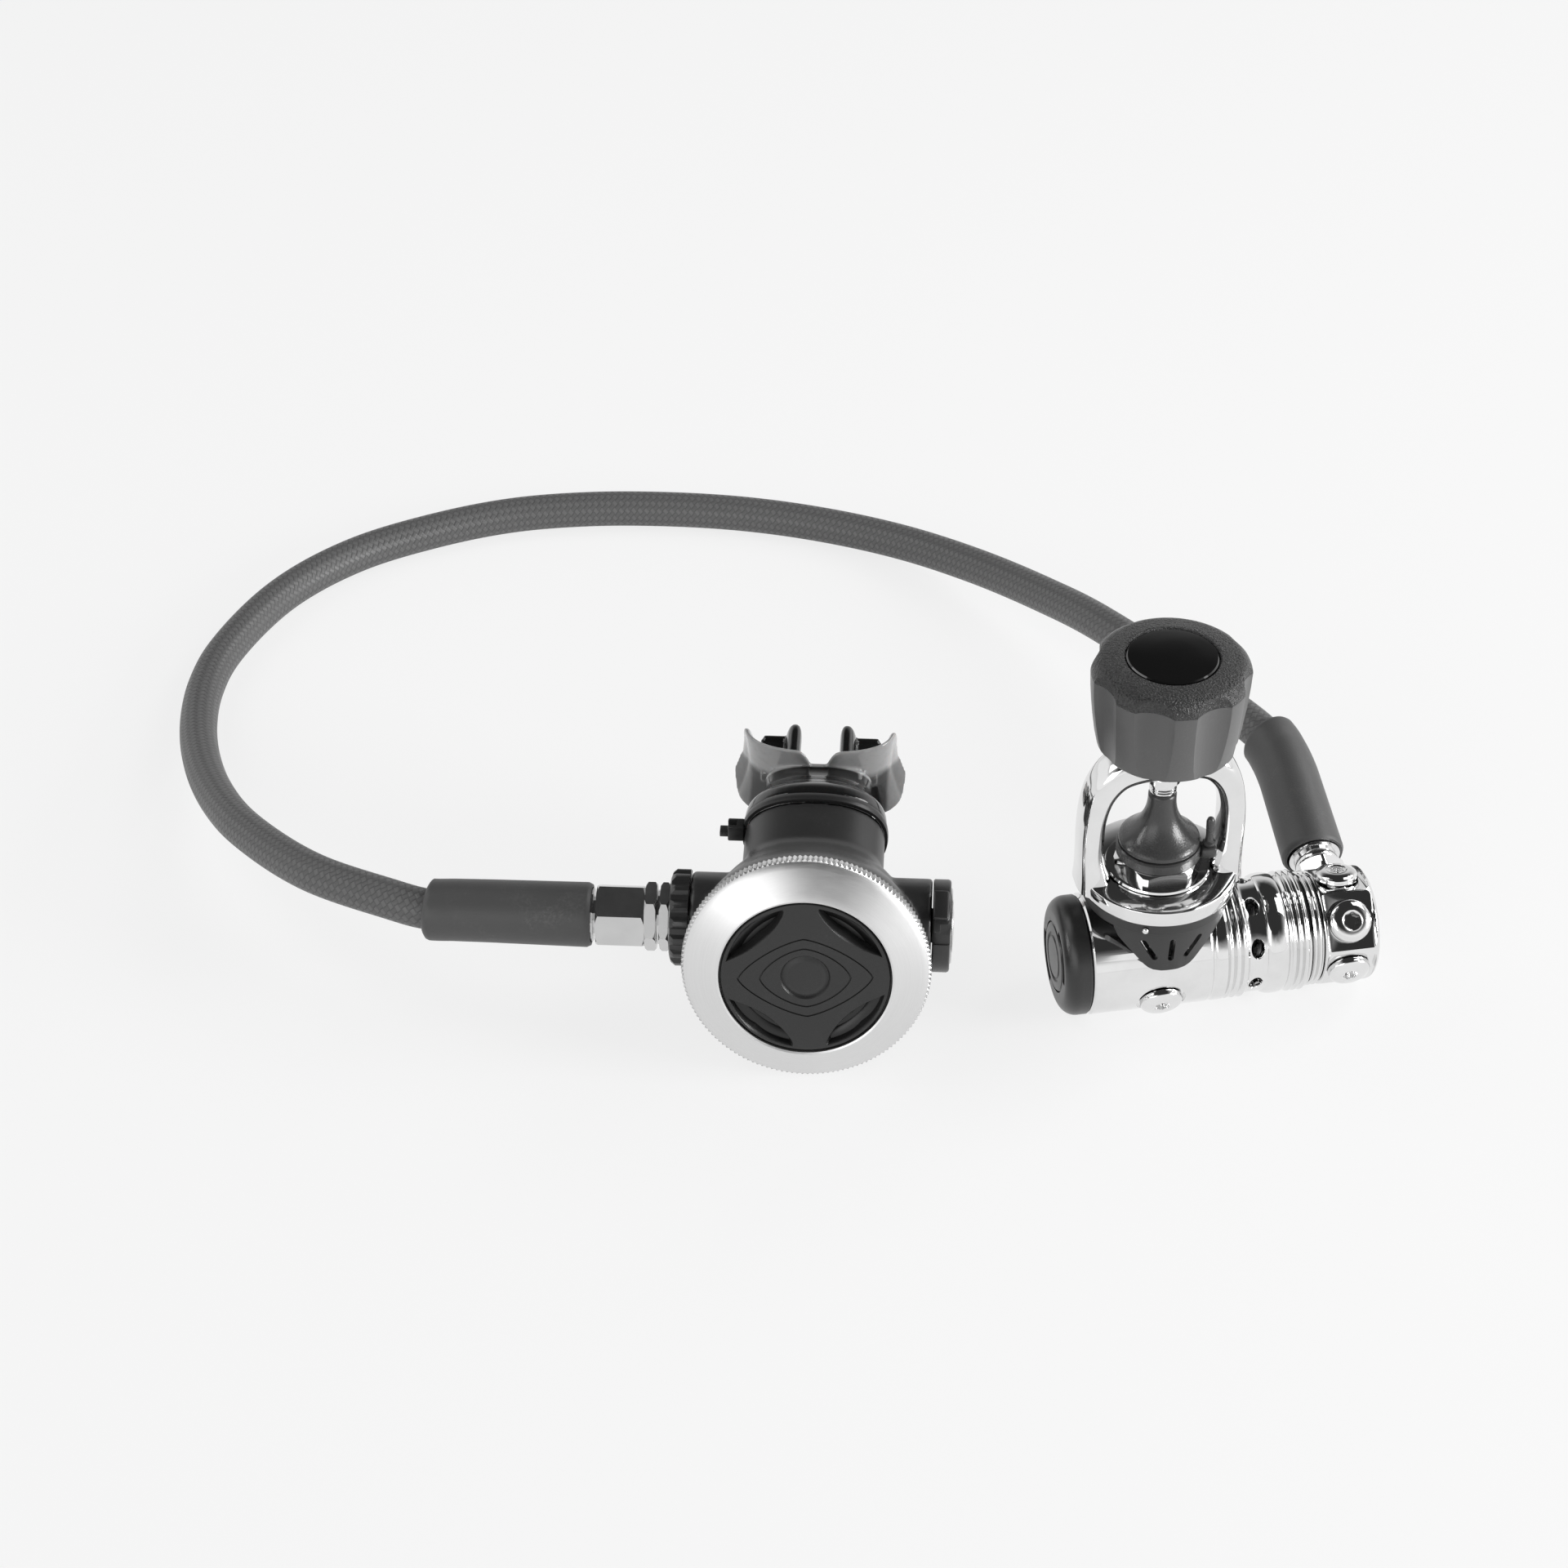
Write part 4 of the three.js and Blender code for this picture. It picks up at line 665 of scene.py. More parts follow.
@dataclass(frozen=True)
class PolishedMetal(Finish):
    """Plated or bare metal with fine handling marks.

    Attributes:
        marks: The depth of its polishing marks in millimetres.
        spread: How far the roughness varies.
        mark_size: The width of its polishing marks in millimetres.
    """

    marks: float = 0.002
    spread: float = 0.05
    mark_size: float = 0.35

    def sockets(self, shop: NodeShop) -> dict[str, object]:
        """Give cloudy gloss, thin smears and faint polishing marks."""
        where = shop.place()
        cloud = shop.noise(where, 14.0, 4.0, 0.6)
        smear = shop.noise(where, 2.2, 5.0, 0.65)
        fine = shop.noise(where, self.mark_size, 2.0, 0.5)
        rough = self.roughness + self.spread * (cloud - 0.5) * 2 + self.spread * (smear - 0.5)
        tone = shop.blend(cloud.ramp(0.3, 0.75), grey(self.base), grey(self.base * 0.93))
        return {"Base Color": tone, "Metallic": 1.0, "Roughness": rough.clipped(),
                "Normal": shop.bump(fine, self.marks)}


@dataclass(frozen=True)
class BrushedMetal(PolishedMetal):
    """Satin metal with fine lines that run round an axis.

    Attributes:
        middle: A point on the axis, in millimetres.
        turn: The turn that brings the piece's axis to Z.
        lines: The width of one turned line, in millimetres.
    """

    middle: Spot = (0.0, 0.0, 0.0)
    turn: Spot = (0.0, 0.0, 0.0)
    lines: float = 0.12

    def sockets(self, shop: NodeShop) -> dict[str, object]:
        """Give turned lines as rings of changing gloss round the axis."""
        where = shop.place()
        moved = shop.add("ShaderNodeVectorMath", {"operation": "SUBTRACT"},
                         {0: where, 1: tuple(v * MM for v in self.middle)})
        local = shop.add("ShaderNodeVectorRotate", {"rotation_type": "EULER_XYZ"},
                         {"Vector": moved, "Rotation": tuple(math.radians(a) for a in self.turn)})
        x, y, z = shop.parts(local)
        radius = shop.add("ShaderNodeMath", {"operation": "SQRT"}, {0: x * x + y * y})
        rings = shop.add("ShaderNodeCombineXYZ", {}, {0: radius, 1: z, 2: 0.0})
        line = shop.noise(rings, self.lines, 3.0, 0.7)
        cloud = shop.noise(where, 9.0, 3.0, 0.6)
        rough = self.roughness + self.spread * (line - 0.5) * 2 + 0.1 * (cloud - 0.5)
        tone = shop.blend(line.ramp(0.35, 0.7), grey(self.base * 0.94), grey(self.base))
        return {"Base Color": tone, "Metallic": 1.0, "Roughness": rough.clipped(),
                "Normal": shop.bump(line, self.marks)}


@dataclass(frozen=True)
class Moulded(Finish):
    """Moulded plastic or rubber with a fine grain.

    Attributes:
        grain_mm: The size of the grain.
        relief: The depth of the grain in millimetres.
        dust: How much paler the dusty places are.
        coat: The strength of a clear gloss on top.
        pitted: The depth of the pits on the upper faces, in millimetres; where it is set, those faces are
            also painted darker than the sides, which is painted shade.
        pitted_and_shaded_above: The height in millimetres above which the faces are pitted and painted with
            that shade.
    """

    grain_mm: float = 0.35
    relief: float = 0.02
    dust: float = 0.02
    coat: float = 0.0
    pitted: float = 0.0
    pitted_and_shaded_above: float = 0.0

    def sockets(self, shop: NodeShop) -> dict[str, object]:
        """Give a pebbled grain, uneven gloss, a breath of dust and, where pitted, upper faces painted darker
        as painted shade.
        """
        where = shop.place()
        pebble = shop.add("ShaderNodeTexVoronoi", {"feature": "SMOOTH_F1"},
                          {"Vector": where, "Scale": 1 / (self.grain_mm * MM), "Smoothness": 0.6})
        cloud = shop.noise(where, 11.0, 4.0, 0.6)
        speck = shop.noise(where, 0.9, 4.0, 0.7)
        dusty = (cloud.ramp(0.45, 0.8) * speck.ramp(0.4, 0.75)).clipped()
        tone = shop.blend(dusty, grey(self.base), grey(self.base + self.dust))
        rough = self.roughness + 0.12 * (cloud - 0.5) + 0.08 * (speck - 0.5)
        height = pebble
        if self.pitted:
            top = shop.parts(where)[2].ramp((self.pitted_and_shaded_above - 0.2) * MM, (self.pitted_and_shaded_above + 0.2) * MM)
            pits = shop.noise(where, 0.6, 2.0, 0.6)
            height = pebble + pits * top * (self.pitted / self.relief)
            # Painted shade: the upper faces are blended towards a much darker grey than the sides, for the
            # dark ceiling they face; the pits only vary how much.
            tone = shop.blend(top * (0.7 + pits.ramp(0.35, 0.65) * 0.3), tone, grey(self.base * 0.15))
            rough = rough - top * 0.12
        return {"Base Color": tone, "Roughness": rough.clipped(), "Coat Weight": self.coat,
                "Coat Roughness": 0.06, "Normal": shop.bump(height, self.relief)}


@dataclass(frozen=True)
class Braided(Finish):
    """Woven hose: two sets of strands that cross at a slant, under a thin clear skin.

    Attributes:
        around: How many strands go round in each direction.
        length_mm: The hose's length.
        pitch_mm: The length of one strand's turn.
    """

    around: int = 12
    length_mm: float = 700.0
    pitch_mm: float = 40.0

    def sockets(self, shop: NodeShop) -> dict[str, object]:
        """Give the strands from the hose's own map, which runs round and along it, with painted highlight on
        their crests and painted shade between them.
        """
        where = shop.place()
        chart = shop.add("ShaderNodeTexCoord", {}, {}, "UV")
        turn, along, _ = shop.parts(chart)
        climb = along * (self.length_mm / self.pitch_mm)
        left = (turn + climb) * self.around
        right = (turn - climb) * self.around
        over = ((left.floor() + right.floor()) * 0.5).fraction().above(0.25)
        ridge_left = 1 - (left.fraction() - 0.5).size() * 2
        ridge_right = 1 - (right.fraction() - 0.5).size() * 2
        ridge = over * ridge_left + (1 - over) * ridge_right
        height = ridge.ramp(0.0, 0.6)
        fuzz = shop.noise(where, 0.5, 3.0, 0.6)
        cloud = shop.noise(where, 25.0, 3.0, 0.5)
        # Painted light: each strand is painted lighter along its crest and darker towards its edges, where it
        # dips into the weave; one slant of strands is also lighter than the other.
        shade = (over * 0.35 + height * 0.5 + fuzz * 0.15).clipped()
        tone = shop.blend(shade, grey(self.base * 0.6), grey(self.base * 1.3))
        rough = self.roughness + 0.15 * (cloud - 0.5) - 0.1 * (height - 0.5)
        return {"Base Color": tone, "Roughness": rough.clipped(),
                "Normal": shop.bump(height + fuzz * 0.15, 0.09)}


@dataclass(frozen=True)
class Silicone(Finish):
    """Smoky silicone that is paler along the thin upper edge of its wings.

    Attributes:
        pale: The grey of the thin edge.
        across: The piece's own X as a direction and an offset in millimetres.
        back: Its own Y, in the same way.
        up: Its own Z, in the same way.
        wing_start: Where the wings begin, along its own Y.
        edge: The heights between which the wall turns pale.
        tabs: The half width that the dark bite tabs keep to.
        rim: The half width beyond which the wings' ends are pale.
    """

    pale: float = 0.4
    across: tuple[float, ...] = (1.0, 0.0, 0.0, 0.0)
    back: tuple[float, ...] = (0.0, 1.0, 0.0, 0.0)
    up: tuple[float, ...] = (0.0, 0.0, 1.0, 0.0)
    wing_start: float = 0.0
    edge: Flat = (0.0, 6.0)
    tabs: float = 18.0
    rim: float = 20.0

    def sockets(self, shop: NodeShop) -> dict[str, object]:
        """Give a smoky body that clears along the edge, with a wet gloss."""
        where = shop.place()
        cloud = shop.noise(where, 7.0, 3.0, 0.5)
        wisp = shop.noise(where, 2.4, 4.0, 0.6)
        x, y, z = (shop.along(where, row) for row in (self.across, self.back, self.up))
        drift = (cloud - 0.5) * 2.5 * MM
        rim = (x.size() + drift * 0.5).ramp(self.rim * MM, (self.rim + 1.5) * MM) * 0.4
        edge = ((z + drift).ramp(self.edge[0] * MM, self.edge[1] * MM) + rim).clipped()
        wing = y.ramp((self.wing_start - 0.5) * MM, (self.wing_start + 0.5) * MM)
        tab = (1 - x.size().ramp((self.tabs - 0.5) * MM, (self.tabs + 0.5) * MM)) * y.ramp(
            (self.wing_start + 4.5) * MM, (self.wing_start + 5.5) * MM)
        thin = (edge * wing * (1 - tab) * (0.75 + wisp * 0.5)).clipped()
        tone = shop.blend(thin, grey(self.base), grey(self.pale))
        rough = self.roughness + 0.1 * (cloud - 0.5)
        fine = shop.noise(where, 0.8, 2.0, 0.5)
        return {"Base Color": tone, "Roughness": rough.clipped(), "Coat Weight": 0.4,
                "Coat Roughness": 0.04, "Subsurface Weight": 0.04, "Subsurface Scale": 0.002,
                "Normal": shop.bump(fine, 0.006)}


# ------------------------------------------------------------------ finishes
CHROME = PolishedMetal("bright chrome plate", 0.80, 0.07, spread=0.035, marks=0.0012)
SATIN_NUT = PolishedMetal("satin plated nut", 0.62, 0.22, spread=0.07, marks=0.006, mark_size=0.25)
DARK_STEEL = PolishedMetal("bare spring steel", 0.48, 0.28, spread=0.12, marks=0.004)
OLD_BRASS = PolishedMetal("dull plated brass", 0.46, 0.26, spread=0.10, marks=0.004)
# The knob's plastic: its upper faces are painted much darker than its sides, which is painted shade.
GRAINED_BLACK = Moulded("grained black plastic", 0.092, 0.36, grain_mm=0.55, relief=0.020, dust=0.02,
                        pitted=0.55, pitted_and_shaded_above=118.0)
SATIN_BLACK = Moulded("satin black plastic", 0.024, 0.32, grain_mm=0.3, relief=0.012, dust=0.010)
CASE_BLACK = Moulded("case plastic", 0.026, 0.36, grain_mm=0.35, relief=0.012, dust=0.014)
COVER_BLACK = Moulded("purge cover rubber", 0.017, 0.42, grain_mm=0.4, relief=0.02, dust=0.012)
# Painted shade: near black, darker than the cover rubber, so that the windows read as deep.
WINDOW_SHADE_BLACK = Moulded("painted shade black of the windows' floor", 0.006, 0.30, grain_mm=0.4, relief=0.01, dust=0.004)
LENS_BLACK = Moulded("gloss lens", 0.006, 0.06, grain_mm=3.0, relief=0.002, dust=0.002, coat=0.6)
SLEEVE_RUBBER = Moulded("sleeve rubber", 0.068, 0.48, grain_mm=0.5, relief=0.02, dust=0.05)
CAP_RUBBER = Moulded("dust cap rubber", 0.045, 0.26, grain_mm=0.45, relief=0.035, dust=0.016)


# ------------------------------------------------------------------ parts and the hand-over
@dataclass
class Assembly:
    """A sub-assembly: it makes pieces, places them and hands them over to the model."""

    @staticmethod
    def deliver(piece: Piece, name: str, frame: Matrix, finish: Finish, body: str, slot: str,
                nodes: Sequence[str] = (), smooth: float = 32.0) -> Piece:
        """Scale a piece to metres, place it, dress it and hand it over.

        Args:
            piece: The piece, in millimetres in its working frame.
            name: Its name.
            frame: The working frame's matrix.
            finish: What its surface is.
            body: The moving body it rides on.
            slot: The record's material slot; not used.
            nodes: The solids it stands for.
            smooth: Edges flatter than this are shaded smooth, in degrees.

        Returns:
            The finished piece.
        """
        Bench.moved(piece, Matrix.Scale(MM, 4) @ frame)
        piece.name = name
        piece.data.name = name
        piece.data.materials.clear()
        piece.data.materials.append(finish.material())
        Bench.hold(piece)
        bpy.ops.object.shade_smooth_by_angle(angle=math.radians(smooth))
        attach(piece, body)
        if nodes:
            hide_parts(*nodes)
        log.info("%s rides on %s: %d faces", name, body, len(piece.data.polygons))
        return piece

    def deliver_all(self, frame: Matrix, *rows: tuple) -> None:
        """Make pieces one after the other and hand them over in one frame.

        Args:
            frame: The working frame's matrix.
            rows: For each piece its maker, name, finish, body and slot, the solids it stands for, and
                how flat an edge is shaded smooth where that isn't the usual angle.
        """
        for make, name, finish, body, slot, nodes, *smooth in rows:
            self.deliver(make(), name, frame, finish, body, slot, nodes.split(), *smooth)

    @staticmethod
    def dress(node: str, finish: Finish) -> None:
        """Give a solid of the model, which stays as it is, its finish."""
        piece = bpy.data.objects[node]
        if not piece.material_slots:
            piece.data.materials.append(finish.material())
        for place in piece.material_slots:
            place.link = "OBJECT"
            place.material = finish.material()
        log.info("%s dressed as %s", node, finish.name)


# ------------------------------------------------------------------ hose
HOSE_ROUTE: list[Spot] = [
    (-0.1376, -0.0219, 0.0354), (-0.1463, -0.0214, 0.0354), (-0.1553, -0.021, 0.0354),
    (-0.1643, -0.0205, 0.0354), (-0.1765, -0.015, 0.035), (-0.2, 0.0005, 0.032),
    (-0.2235, 0.0305, 0.024), (-0.2345, 0.052, 0.0185), (-0.243, 0.0775, 0.0125),
    (-0.248, 0.104, 0.008), (-0.2485, 0.1275, 0.006), (-0.2445, 0.147, 0.006),
    (-0.2285, 0.18, 0.006), (-0.207, 0.2025, 0.006), (-0.182, 0.217, 0.006),
    (-0.155, 0.227, 0.006), (-0.128, 0.231, 0.006), (-0.1005, 0.231, 0.006),
    (-0.0735, 0.228, 0.006), (-0.047, 0.2215, 0.006), (-0.0205, 0.209, 0.0075),
    (0.004, 0.189, 0.0115), (0.0265, 0.1615, 0.0185), (0.0435, 0.135, 0.0255),
    (0.0886, 0.0642, 0.0339), (0.0922, 0.0561, 0.0323), (0.0942, 0.0486, 0.0307),
    (0.0951, 0.0438, 0.0295), (0.0959, 0.039, 0.0284),
]


@dataclass
class Hose(Assembly):
    """The braided hose with its two rubber sleeves and its metal ends."""

    radius: float = 6.0
    sleeve_radius: float = 9.5
    sleeve_length: float = 48.0
    ferrule_radius: float = 7.8
    ferrule_inside: float = 21.7
    points: list[Vector] = field(default_factory=list)
    stops: list[float] = field(default_factory=list)

    def __post_init__(self) -> None:
        """Sample the route and measure it."""
        route = [Vector(p) * PER_METRE for p in HOSE_ROUTE]
        ends = [route[0] * 2 - route[1], *route, route[-1] * 2 - route[-2]]
        for a, b, c, d in zip(ends, ends[1:], ends[2:], ends[3:]):
            self.points += self.centripetal(a, b, c, d, 24)
        self.points.append(route[-1])
        self.stops = [0.0]
        for a, b in zip(self.points, self.points[1:]):
            self.stops.append(self.stops[-1] + (b - a).length)

    @staticmethod
    def centripetal(a: Vector, b: Vector, c: Vector, d: Vector, steps: int) -> list[Vector]:
        """Run a centripetal curve from b to c, with a and d as its neighbours."""
        gaps = [max((q - p).length ** 0.5, 1e-4) for p, q in ((a, b), (b, c), (c, d))]
        leave = (b - a) / gaps[0] - (c - a) / (gaps[0] + gaps[1]) + (c - b) / gaps[1]
        arrive = (c - b) / gaps[1] - (d - b) / (gaps[1] + gaps[2]) + (d - c) / gaps[2]
        leave, arrive = leave * gaps[1], arrive * gaps[1]
        curve = []
        for i in range(steps):
            t = i / steps
            curve.append(b * (2 * t ** 3 - 3 * t * t + 1) + leave * (t ** 3 - 2 * t * t + t)
                         + c * (3 * t * t - 2 * t ** 3) + arrive * (t ** 3 - t * t))
        return curve

    @property
    def length(self) -> float:
        """Give the hose's length between its ferrules, in millimetres."""
        return self.stops[-1]

    def spot(self, distance: float) -> tuple[Vector, Vector]:
        """Give the point and the direction a distance along the hose, straight on past its ends."""
        inside = min(max(distance, 0.0), self.length)
        low = max(k for k, stop in enumerate(self.stops[:-1]) if stop <= inside)
        run = self.points[low + 1] - self.points[low]
        share = (inside - self.stops[low]) / (self.stops[low + 1] - self.stops[low])
        before = self.points[max(low - 3, 0)]
        after = self.points[min(low + 4, len(self.points) - 1)]
        ahead = (after - before).normalized()
        return self.points[low] + run * share + ahead * (distance - inside), ahead

    def tube(self, low: float, high: float, profile: Callable[[float], float], round_steps: int,
             long_steps: int) -> Piece:
        """Wrap a tube round the hose's line, its radius given by a rule of the distance."""
        rings = []
        for j in range(long_steps + 1):
            distance = low + (high - low) * j / long_steps
            point, ahead = self.spot(distance)
            side = ahead.cross(Vector((0, 0, 1))).normalized()
            rings.append((point, side, side.cross(ahead), profile(distance)))

        def shape(u: float, v: float) -> Spot:
            """Place one corner of the tube."""
            point, side, lift, radius = rings[round(v * long_steps)]
            angle = TURN * u
            return tuple(point + side * radius * math.cos(angle) + lift * radius * math.sin(angle))

        return Bench.skin(round_steps, long_steps, shape)

    def braided(self) -> Piece:
        tube = self.tube(-4.0, self.length + 4.0, lambda _: self.radius - 0.02, 36, 360)
        braid = Braided("braided hose", 0.105, 0.5, around=14, length_mm=self.length, pitch_mm=31.0)
        return self.deliver(tube, "braided_hose", Matrix(), braid, "turret", "hose_rubber", ["hose"], 60.0)

    def sleeve_radius_at(self, along: float) -> float:
        """Give the sleeve's radius a share of the way from its ferrule end to its hose end."""
        lip = 0.6 * max(0.0, 1 - along * 40) + 1.3 * max(0.0, (along - 0.975) / 0.025) ** 2
        return self.sleeve_radius - 0.45 * along - lip

    def sleeve(self, start: float, end: float, name: str, node: str) -> Piece:
        """Make one rubber sleeve over a ferrule and the hose's end."""
        outer = self.tube(start, end, lambda s: self.sleeve_radius_at((s - start) / (end - start)), 48, 80)
        bore = self.tube(start - math.copysign(1, end - start), end + math.copysign(1, end - start),
                         lambda s: self.ferrule_radius + 0.35 if abs(s - start) < 22.5 else self.radius + 0.5,
                         40, 60)
        Bench.cut(outer, bore)
        return self.deliver(outer, name, Matrix(), SLEEVE_RUBBER, "turret", "black_rubber", [node], 40.0)

    def build(self) -> None:
        hose = self.braided()
        over = self.sleeve_length - self.ferrule_inside
        sleeves = [
            self.sleeve(-self.ferrule_inside, over, "sleeve_at_second_stage", "hose_sleeve_second"),
            self.sleeve(self.length + self.ferrule_inside, self.length - over, "sleeve_at_first_stage",
                        "hose_sleeve_first"),
        ]
        path = [tuple(self.spot(self.length * i / 160)[0] * MM) for i in range(161)]
        log.info("hose is %.1f mm long", self.length)


# ------------------------------------------------------------------ first stage
@dataclass
class FirstStageBody(Assembly):
    """The turned body with its end cap, its shroud, its plugs and what is inside."""

    radius: float = 18.0
    left: float = -21.5
    right: float = 44.2
    chamber_radius: float = 14.0
    chamber_left: float = 15.0
    spigot: Flat = (12.5, 3.8)
    seat_radius: float = 4.6
    boss_radius: float = 15.5
    boss_top: float = 26.0
    waist: Flat = (25.4, 30.6)
    holes: int = 8
    plug_x: float = -0.7
    plug_seat: float = 16.9
    plug_angles: tuple[float, float] = (-24.0, 204.0)
    cap_length: float = 7.5
    cap_edge: float = 4.6
    badge_radius: float = 10.4
    collar_radius: float = 21.6

    def outside(self) -> list[Flat]:
        """Give the body's outer profile: a groove, three ribs, the waist, the bulge and three more ribs."""
        r, (low, high) = self.radius, self.waist
        swell = Draw.arc((r - 1.3, (high + 38.0) / 2), (1.28, 3.4), -82, 82, 14)
        return [(r - 0.7, self.left), (r, self.left + 0.7), (r, 13.6), (r - 0.15, 14.2), (r - 0.5, 14.5),
                (r - 0.5, 15.1), (r - 0.12, 15.5), (r, 16.0), (r, 18.6),
                *Draw.ripple(18.9, low, 3, r - 0.95, r - 0.05), (r - 1.15, low + 0.3), (r - 1.2, low + 1.0),
                (r - 1.2, high - 0.3), *swell,
                *Draw.ripple(38.0, 43.6, 3, r - 0.95, r - 0.1), (r - 0.9, self.right)]

    def shell(self) -> Piece:
        """Turn the body, raise the boss and cut the holes and the two spot faces."""
        spigot_radius, spigot_length = self.spigot
        inside = [(self.chamber_radius, self.right), (self.chamber_radius, self.chamber_left),
                  (self.seat_radius, self.chamber_left), (self.seat_radius, self.left + spigot_length + GAP),
                  (spigot_radius + GAP, self.left + spigot_length + GAP), (spigot_radius + GAP, self.left)]
        body = Bench.turned(Axis.X, self.outside() + inside, FACES_FINE, loop=True)
        boss = Bench.rod(Axis.Z, self.boss_radius, 9, self.boss_top)
        Bench.join(body, boss)
        Bench.cut(body, Bench.rod(Axis.Z, 9.3, 12, 30, 48), Bench.rod(Axis.Z, 3, 0, 13, 24))
        middle = (self.waist[0] + self.waist[1]) / 2
        for i in range(self.holes):
            drill = Bench.turned(Axis.Z, [(0, 11), (1.75, 11), (1.75, 16.2), (2.1, 16.8), (2.9, 17.6),
                                          (2.9, 21), (0, 21)], FACES_BORE)
            Bench.moved(drill, Matrix.Diagonal((1, 1.65, 1, 1)))
            Bench.cut(body, Bench.moved(drill, self.outward(middle, 360 * i / self.holes + 25)))
        for angle in self.plug_angles:
            face = Bench.turned(Axis.Z, [(0, 9), (4.3, 9), (4.3, self.plug_seat), (7.0, self.plug_seat),
                                         (7.3, self.plug_seat + 0.4), (7.6, 23), (0, 23)], FACES_SMALL)
            Bench.cut(body, Bench.moved(face, self.outward(self.plug_x, angle)))
        return body

    @staticmethod
    def outward(x: float, angle: float) -> Matrix:
        """Turn what is built along Z to a port angle round the body: 0 is the front, 90 the top."""
        return Matrix.Translation((x, 0, 0)) @ spun(90 - angle, "X")

    def end_cap(self) -> Piece:
        """Turn the end cap with its rounded edge and cut two arc slots round its disc."""
        right = self.left - GAP
        face = right - self.cap_length
        r = self.radius - 0.25
        corner = Draw.arc((r - self.cap_edge, face + self.cap_edge), (self.cap_edge, self.cap_edge), 0, -84,
                          12)
        spigot_radius, spigot_length = self.spigot
        cap = Bench.turned(Axis.X, [
            (0, right + spigot_length), (spigot_radius, right + spigot_length), (spigot_radius, right),
            (r - 0.35, right), (r, right - 0.35), *corner, (self.badge_radius + 1.9, face + 0.02),
            (self.badge_radius + GAP, face + 0.02), (self.badge_radius + GAP, face + 1.6), (0, face + 1.6)])
        for start in (105.0, 285.0):
            rim = Draw.arc((0, 0), (12.9, 12.9), start, start + 78, 20)
            inner = Draw.arc((0, 0), (10.0, 10.0), start + 78, start, 20)
            Bench.cut(cap, Bench.prism(Axis.X, rim + inner, face - 2, face + 1.3))
        return Bench.bevel(cap, 0.18, 50)

    def end_cap_badge(self) -> Piece:
        """Turn the inset disc, with a plain raised ring."""
        back = self.left - GAP - self.cap_length + 1.3
        r = self.badge_radius
        disc = Bench.turned(Axis.X, Draw.raised(back, [
            (0, 0), (r, 0), (r, -1.0), (r - 0.5, -1.45), (7.6, -1.6), (7.3, -1.2), (6.4, -1.2), (6.1, -1.62),
            (3.0, -1.68), (0, -1.7)]), FACES_MIDDLE)
        return disc

    def shroud(self) -> Piece:
        """Make the black collar with its slotted bib, front and back."""
        wide, thick = self.collar_radius, 1.8
        skirt = Bench.turned(Axis.Z, [
            (wide - 1.8 - thick, 5.5), (wide - 1.9, 5.5), (wide - 1.2, 13), (wide - 0.2, 20),
            (wide, self.boss_top - 3), (wide - thick, self.boss_top - 3)], FACES_FINE, loop=True)
        half = [(-16.6, 30), (-16.0, 21.5), (-14.9, 18.8), (-7.4, 9.6), (-6.2, 8.5), (-4.8, 7.75),
                (-2.4, 7.3)]
        bib = Bench.prism(Axis.Y, half + Draw.mirrored(half), -30, 30)
        Bench.common(skirt, bib)
        collar = Bench.turned(Axis.Z, [
            (self.boss_radius + GAP, self.boss_top - 4.6), (wide - 0.6, self.boss_top - 4.6),
            (wide, self.boss_top - 3.8), (wide, self.boss_top - 0.4), (wide - 0.4, self.boss_top),
            (self.boss_radius + GAP, self.boss_top)], FACES_FINE, loop=True)
        Bench.join(skirt, collar)
        Bench.cut(skirt, Bench.rod(Axis.X, self.radius + GAP, -30, 30, FACES_FINE),
                  Bench.rod(Axis.Z, self.boss_radius + GAP, 0, 27))
        for x, lean in ((-6.5, 30.0), (0.0, 0.0), (6.5, -30.0)):
            ends = Draw.arc((0, 3.6), (0.85, 0.85), 0, 180, 8)
            ends += Draw.arc((0, -3.6), (0.85, 0.85), 180, 360, 8)
            slot = Bench.prism(Axis.Y, ends, -30, 30)
            turn = Matrix.Translation((x, 0, 15.6)) @ spun(-lean, "Y")
            Bench.cut(skirt, Bench.moved(slot, turn))
        return Bench.bevel(skirt, 0.22, 48)

    def stud(self) -> Piece:
        """Turn the small round-headed stud in the collar."""
        stud = Bench.turned(Axis.Z, [(0, self.collar_radius + GAP), (0.95, self.collar_radius + GAP),
                                     (0.95, self.collar_radius + 0.7), (0.6, self.collar_radius + 1.0),
                                     (0, self.collar_radius + 1.1)], 24)
        lean = spun(-22, "Z") @ spun(90, "X")
        return Bench.moved(stud, Matrix.Translation((0, 0, self.boss_top - 2.3)) @ lean)

    def build(self) -> None:
        """Make and dress the body's pieces."""
        frame = FIRST.matrix()
        body, chrome, black = "first_stage", "chrome", "black_plastic"
        self.deliver_all(
            frame,
            (self.shell, "first_stage_shell", CHROME, body, chrome, "body_shell", 40),
            (self.end_cap, "first_stage_cap", SATIN_BLACK, body, black, "end_cap"),
            (self.end_cap_badge, "cap_disc", SATIN_BLACK, body, black, "end_cap_badge"),
            (self.shroud, "slotted_shroud", SATIN_BLACK, body, black, "body_shroud"),
            (self.stud, "collar_stud", CHROME, body, chrome, "shroud_stud", 60))
        for node, finish in (("piston_seat", SATIN_BLACK), ("piston", OLD_BRASS), ("main_spring", DARK_STEEL),
                             ("inlet_filter", OLD_BRASS), ("filter_clip", DARK_STEEL)):
            self.dress(node, finish)


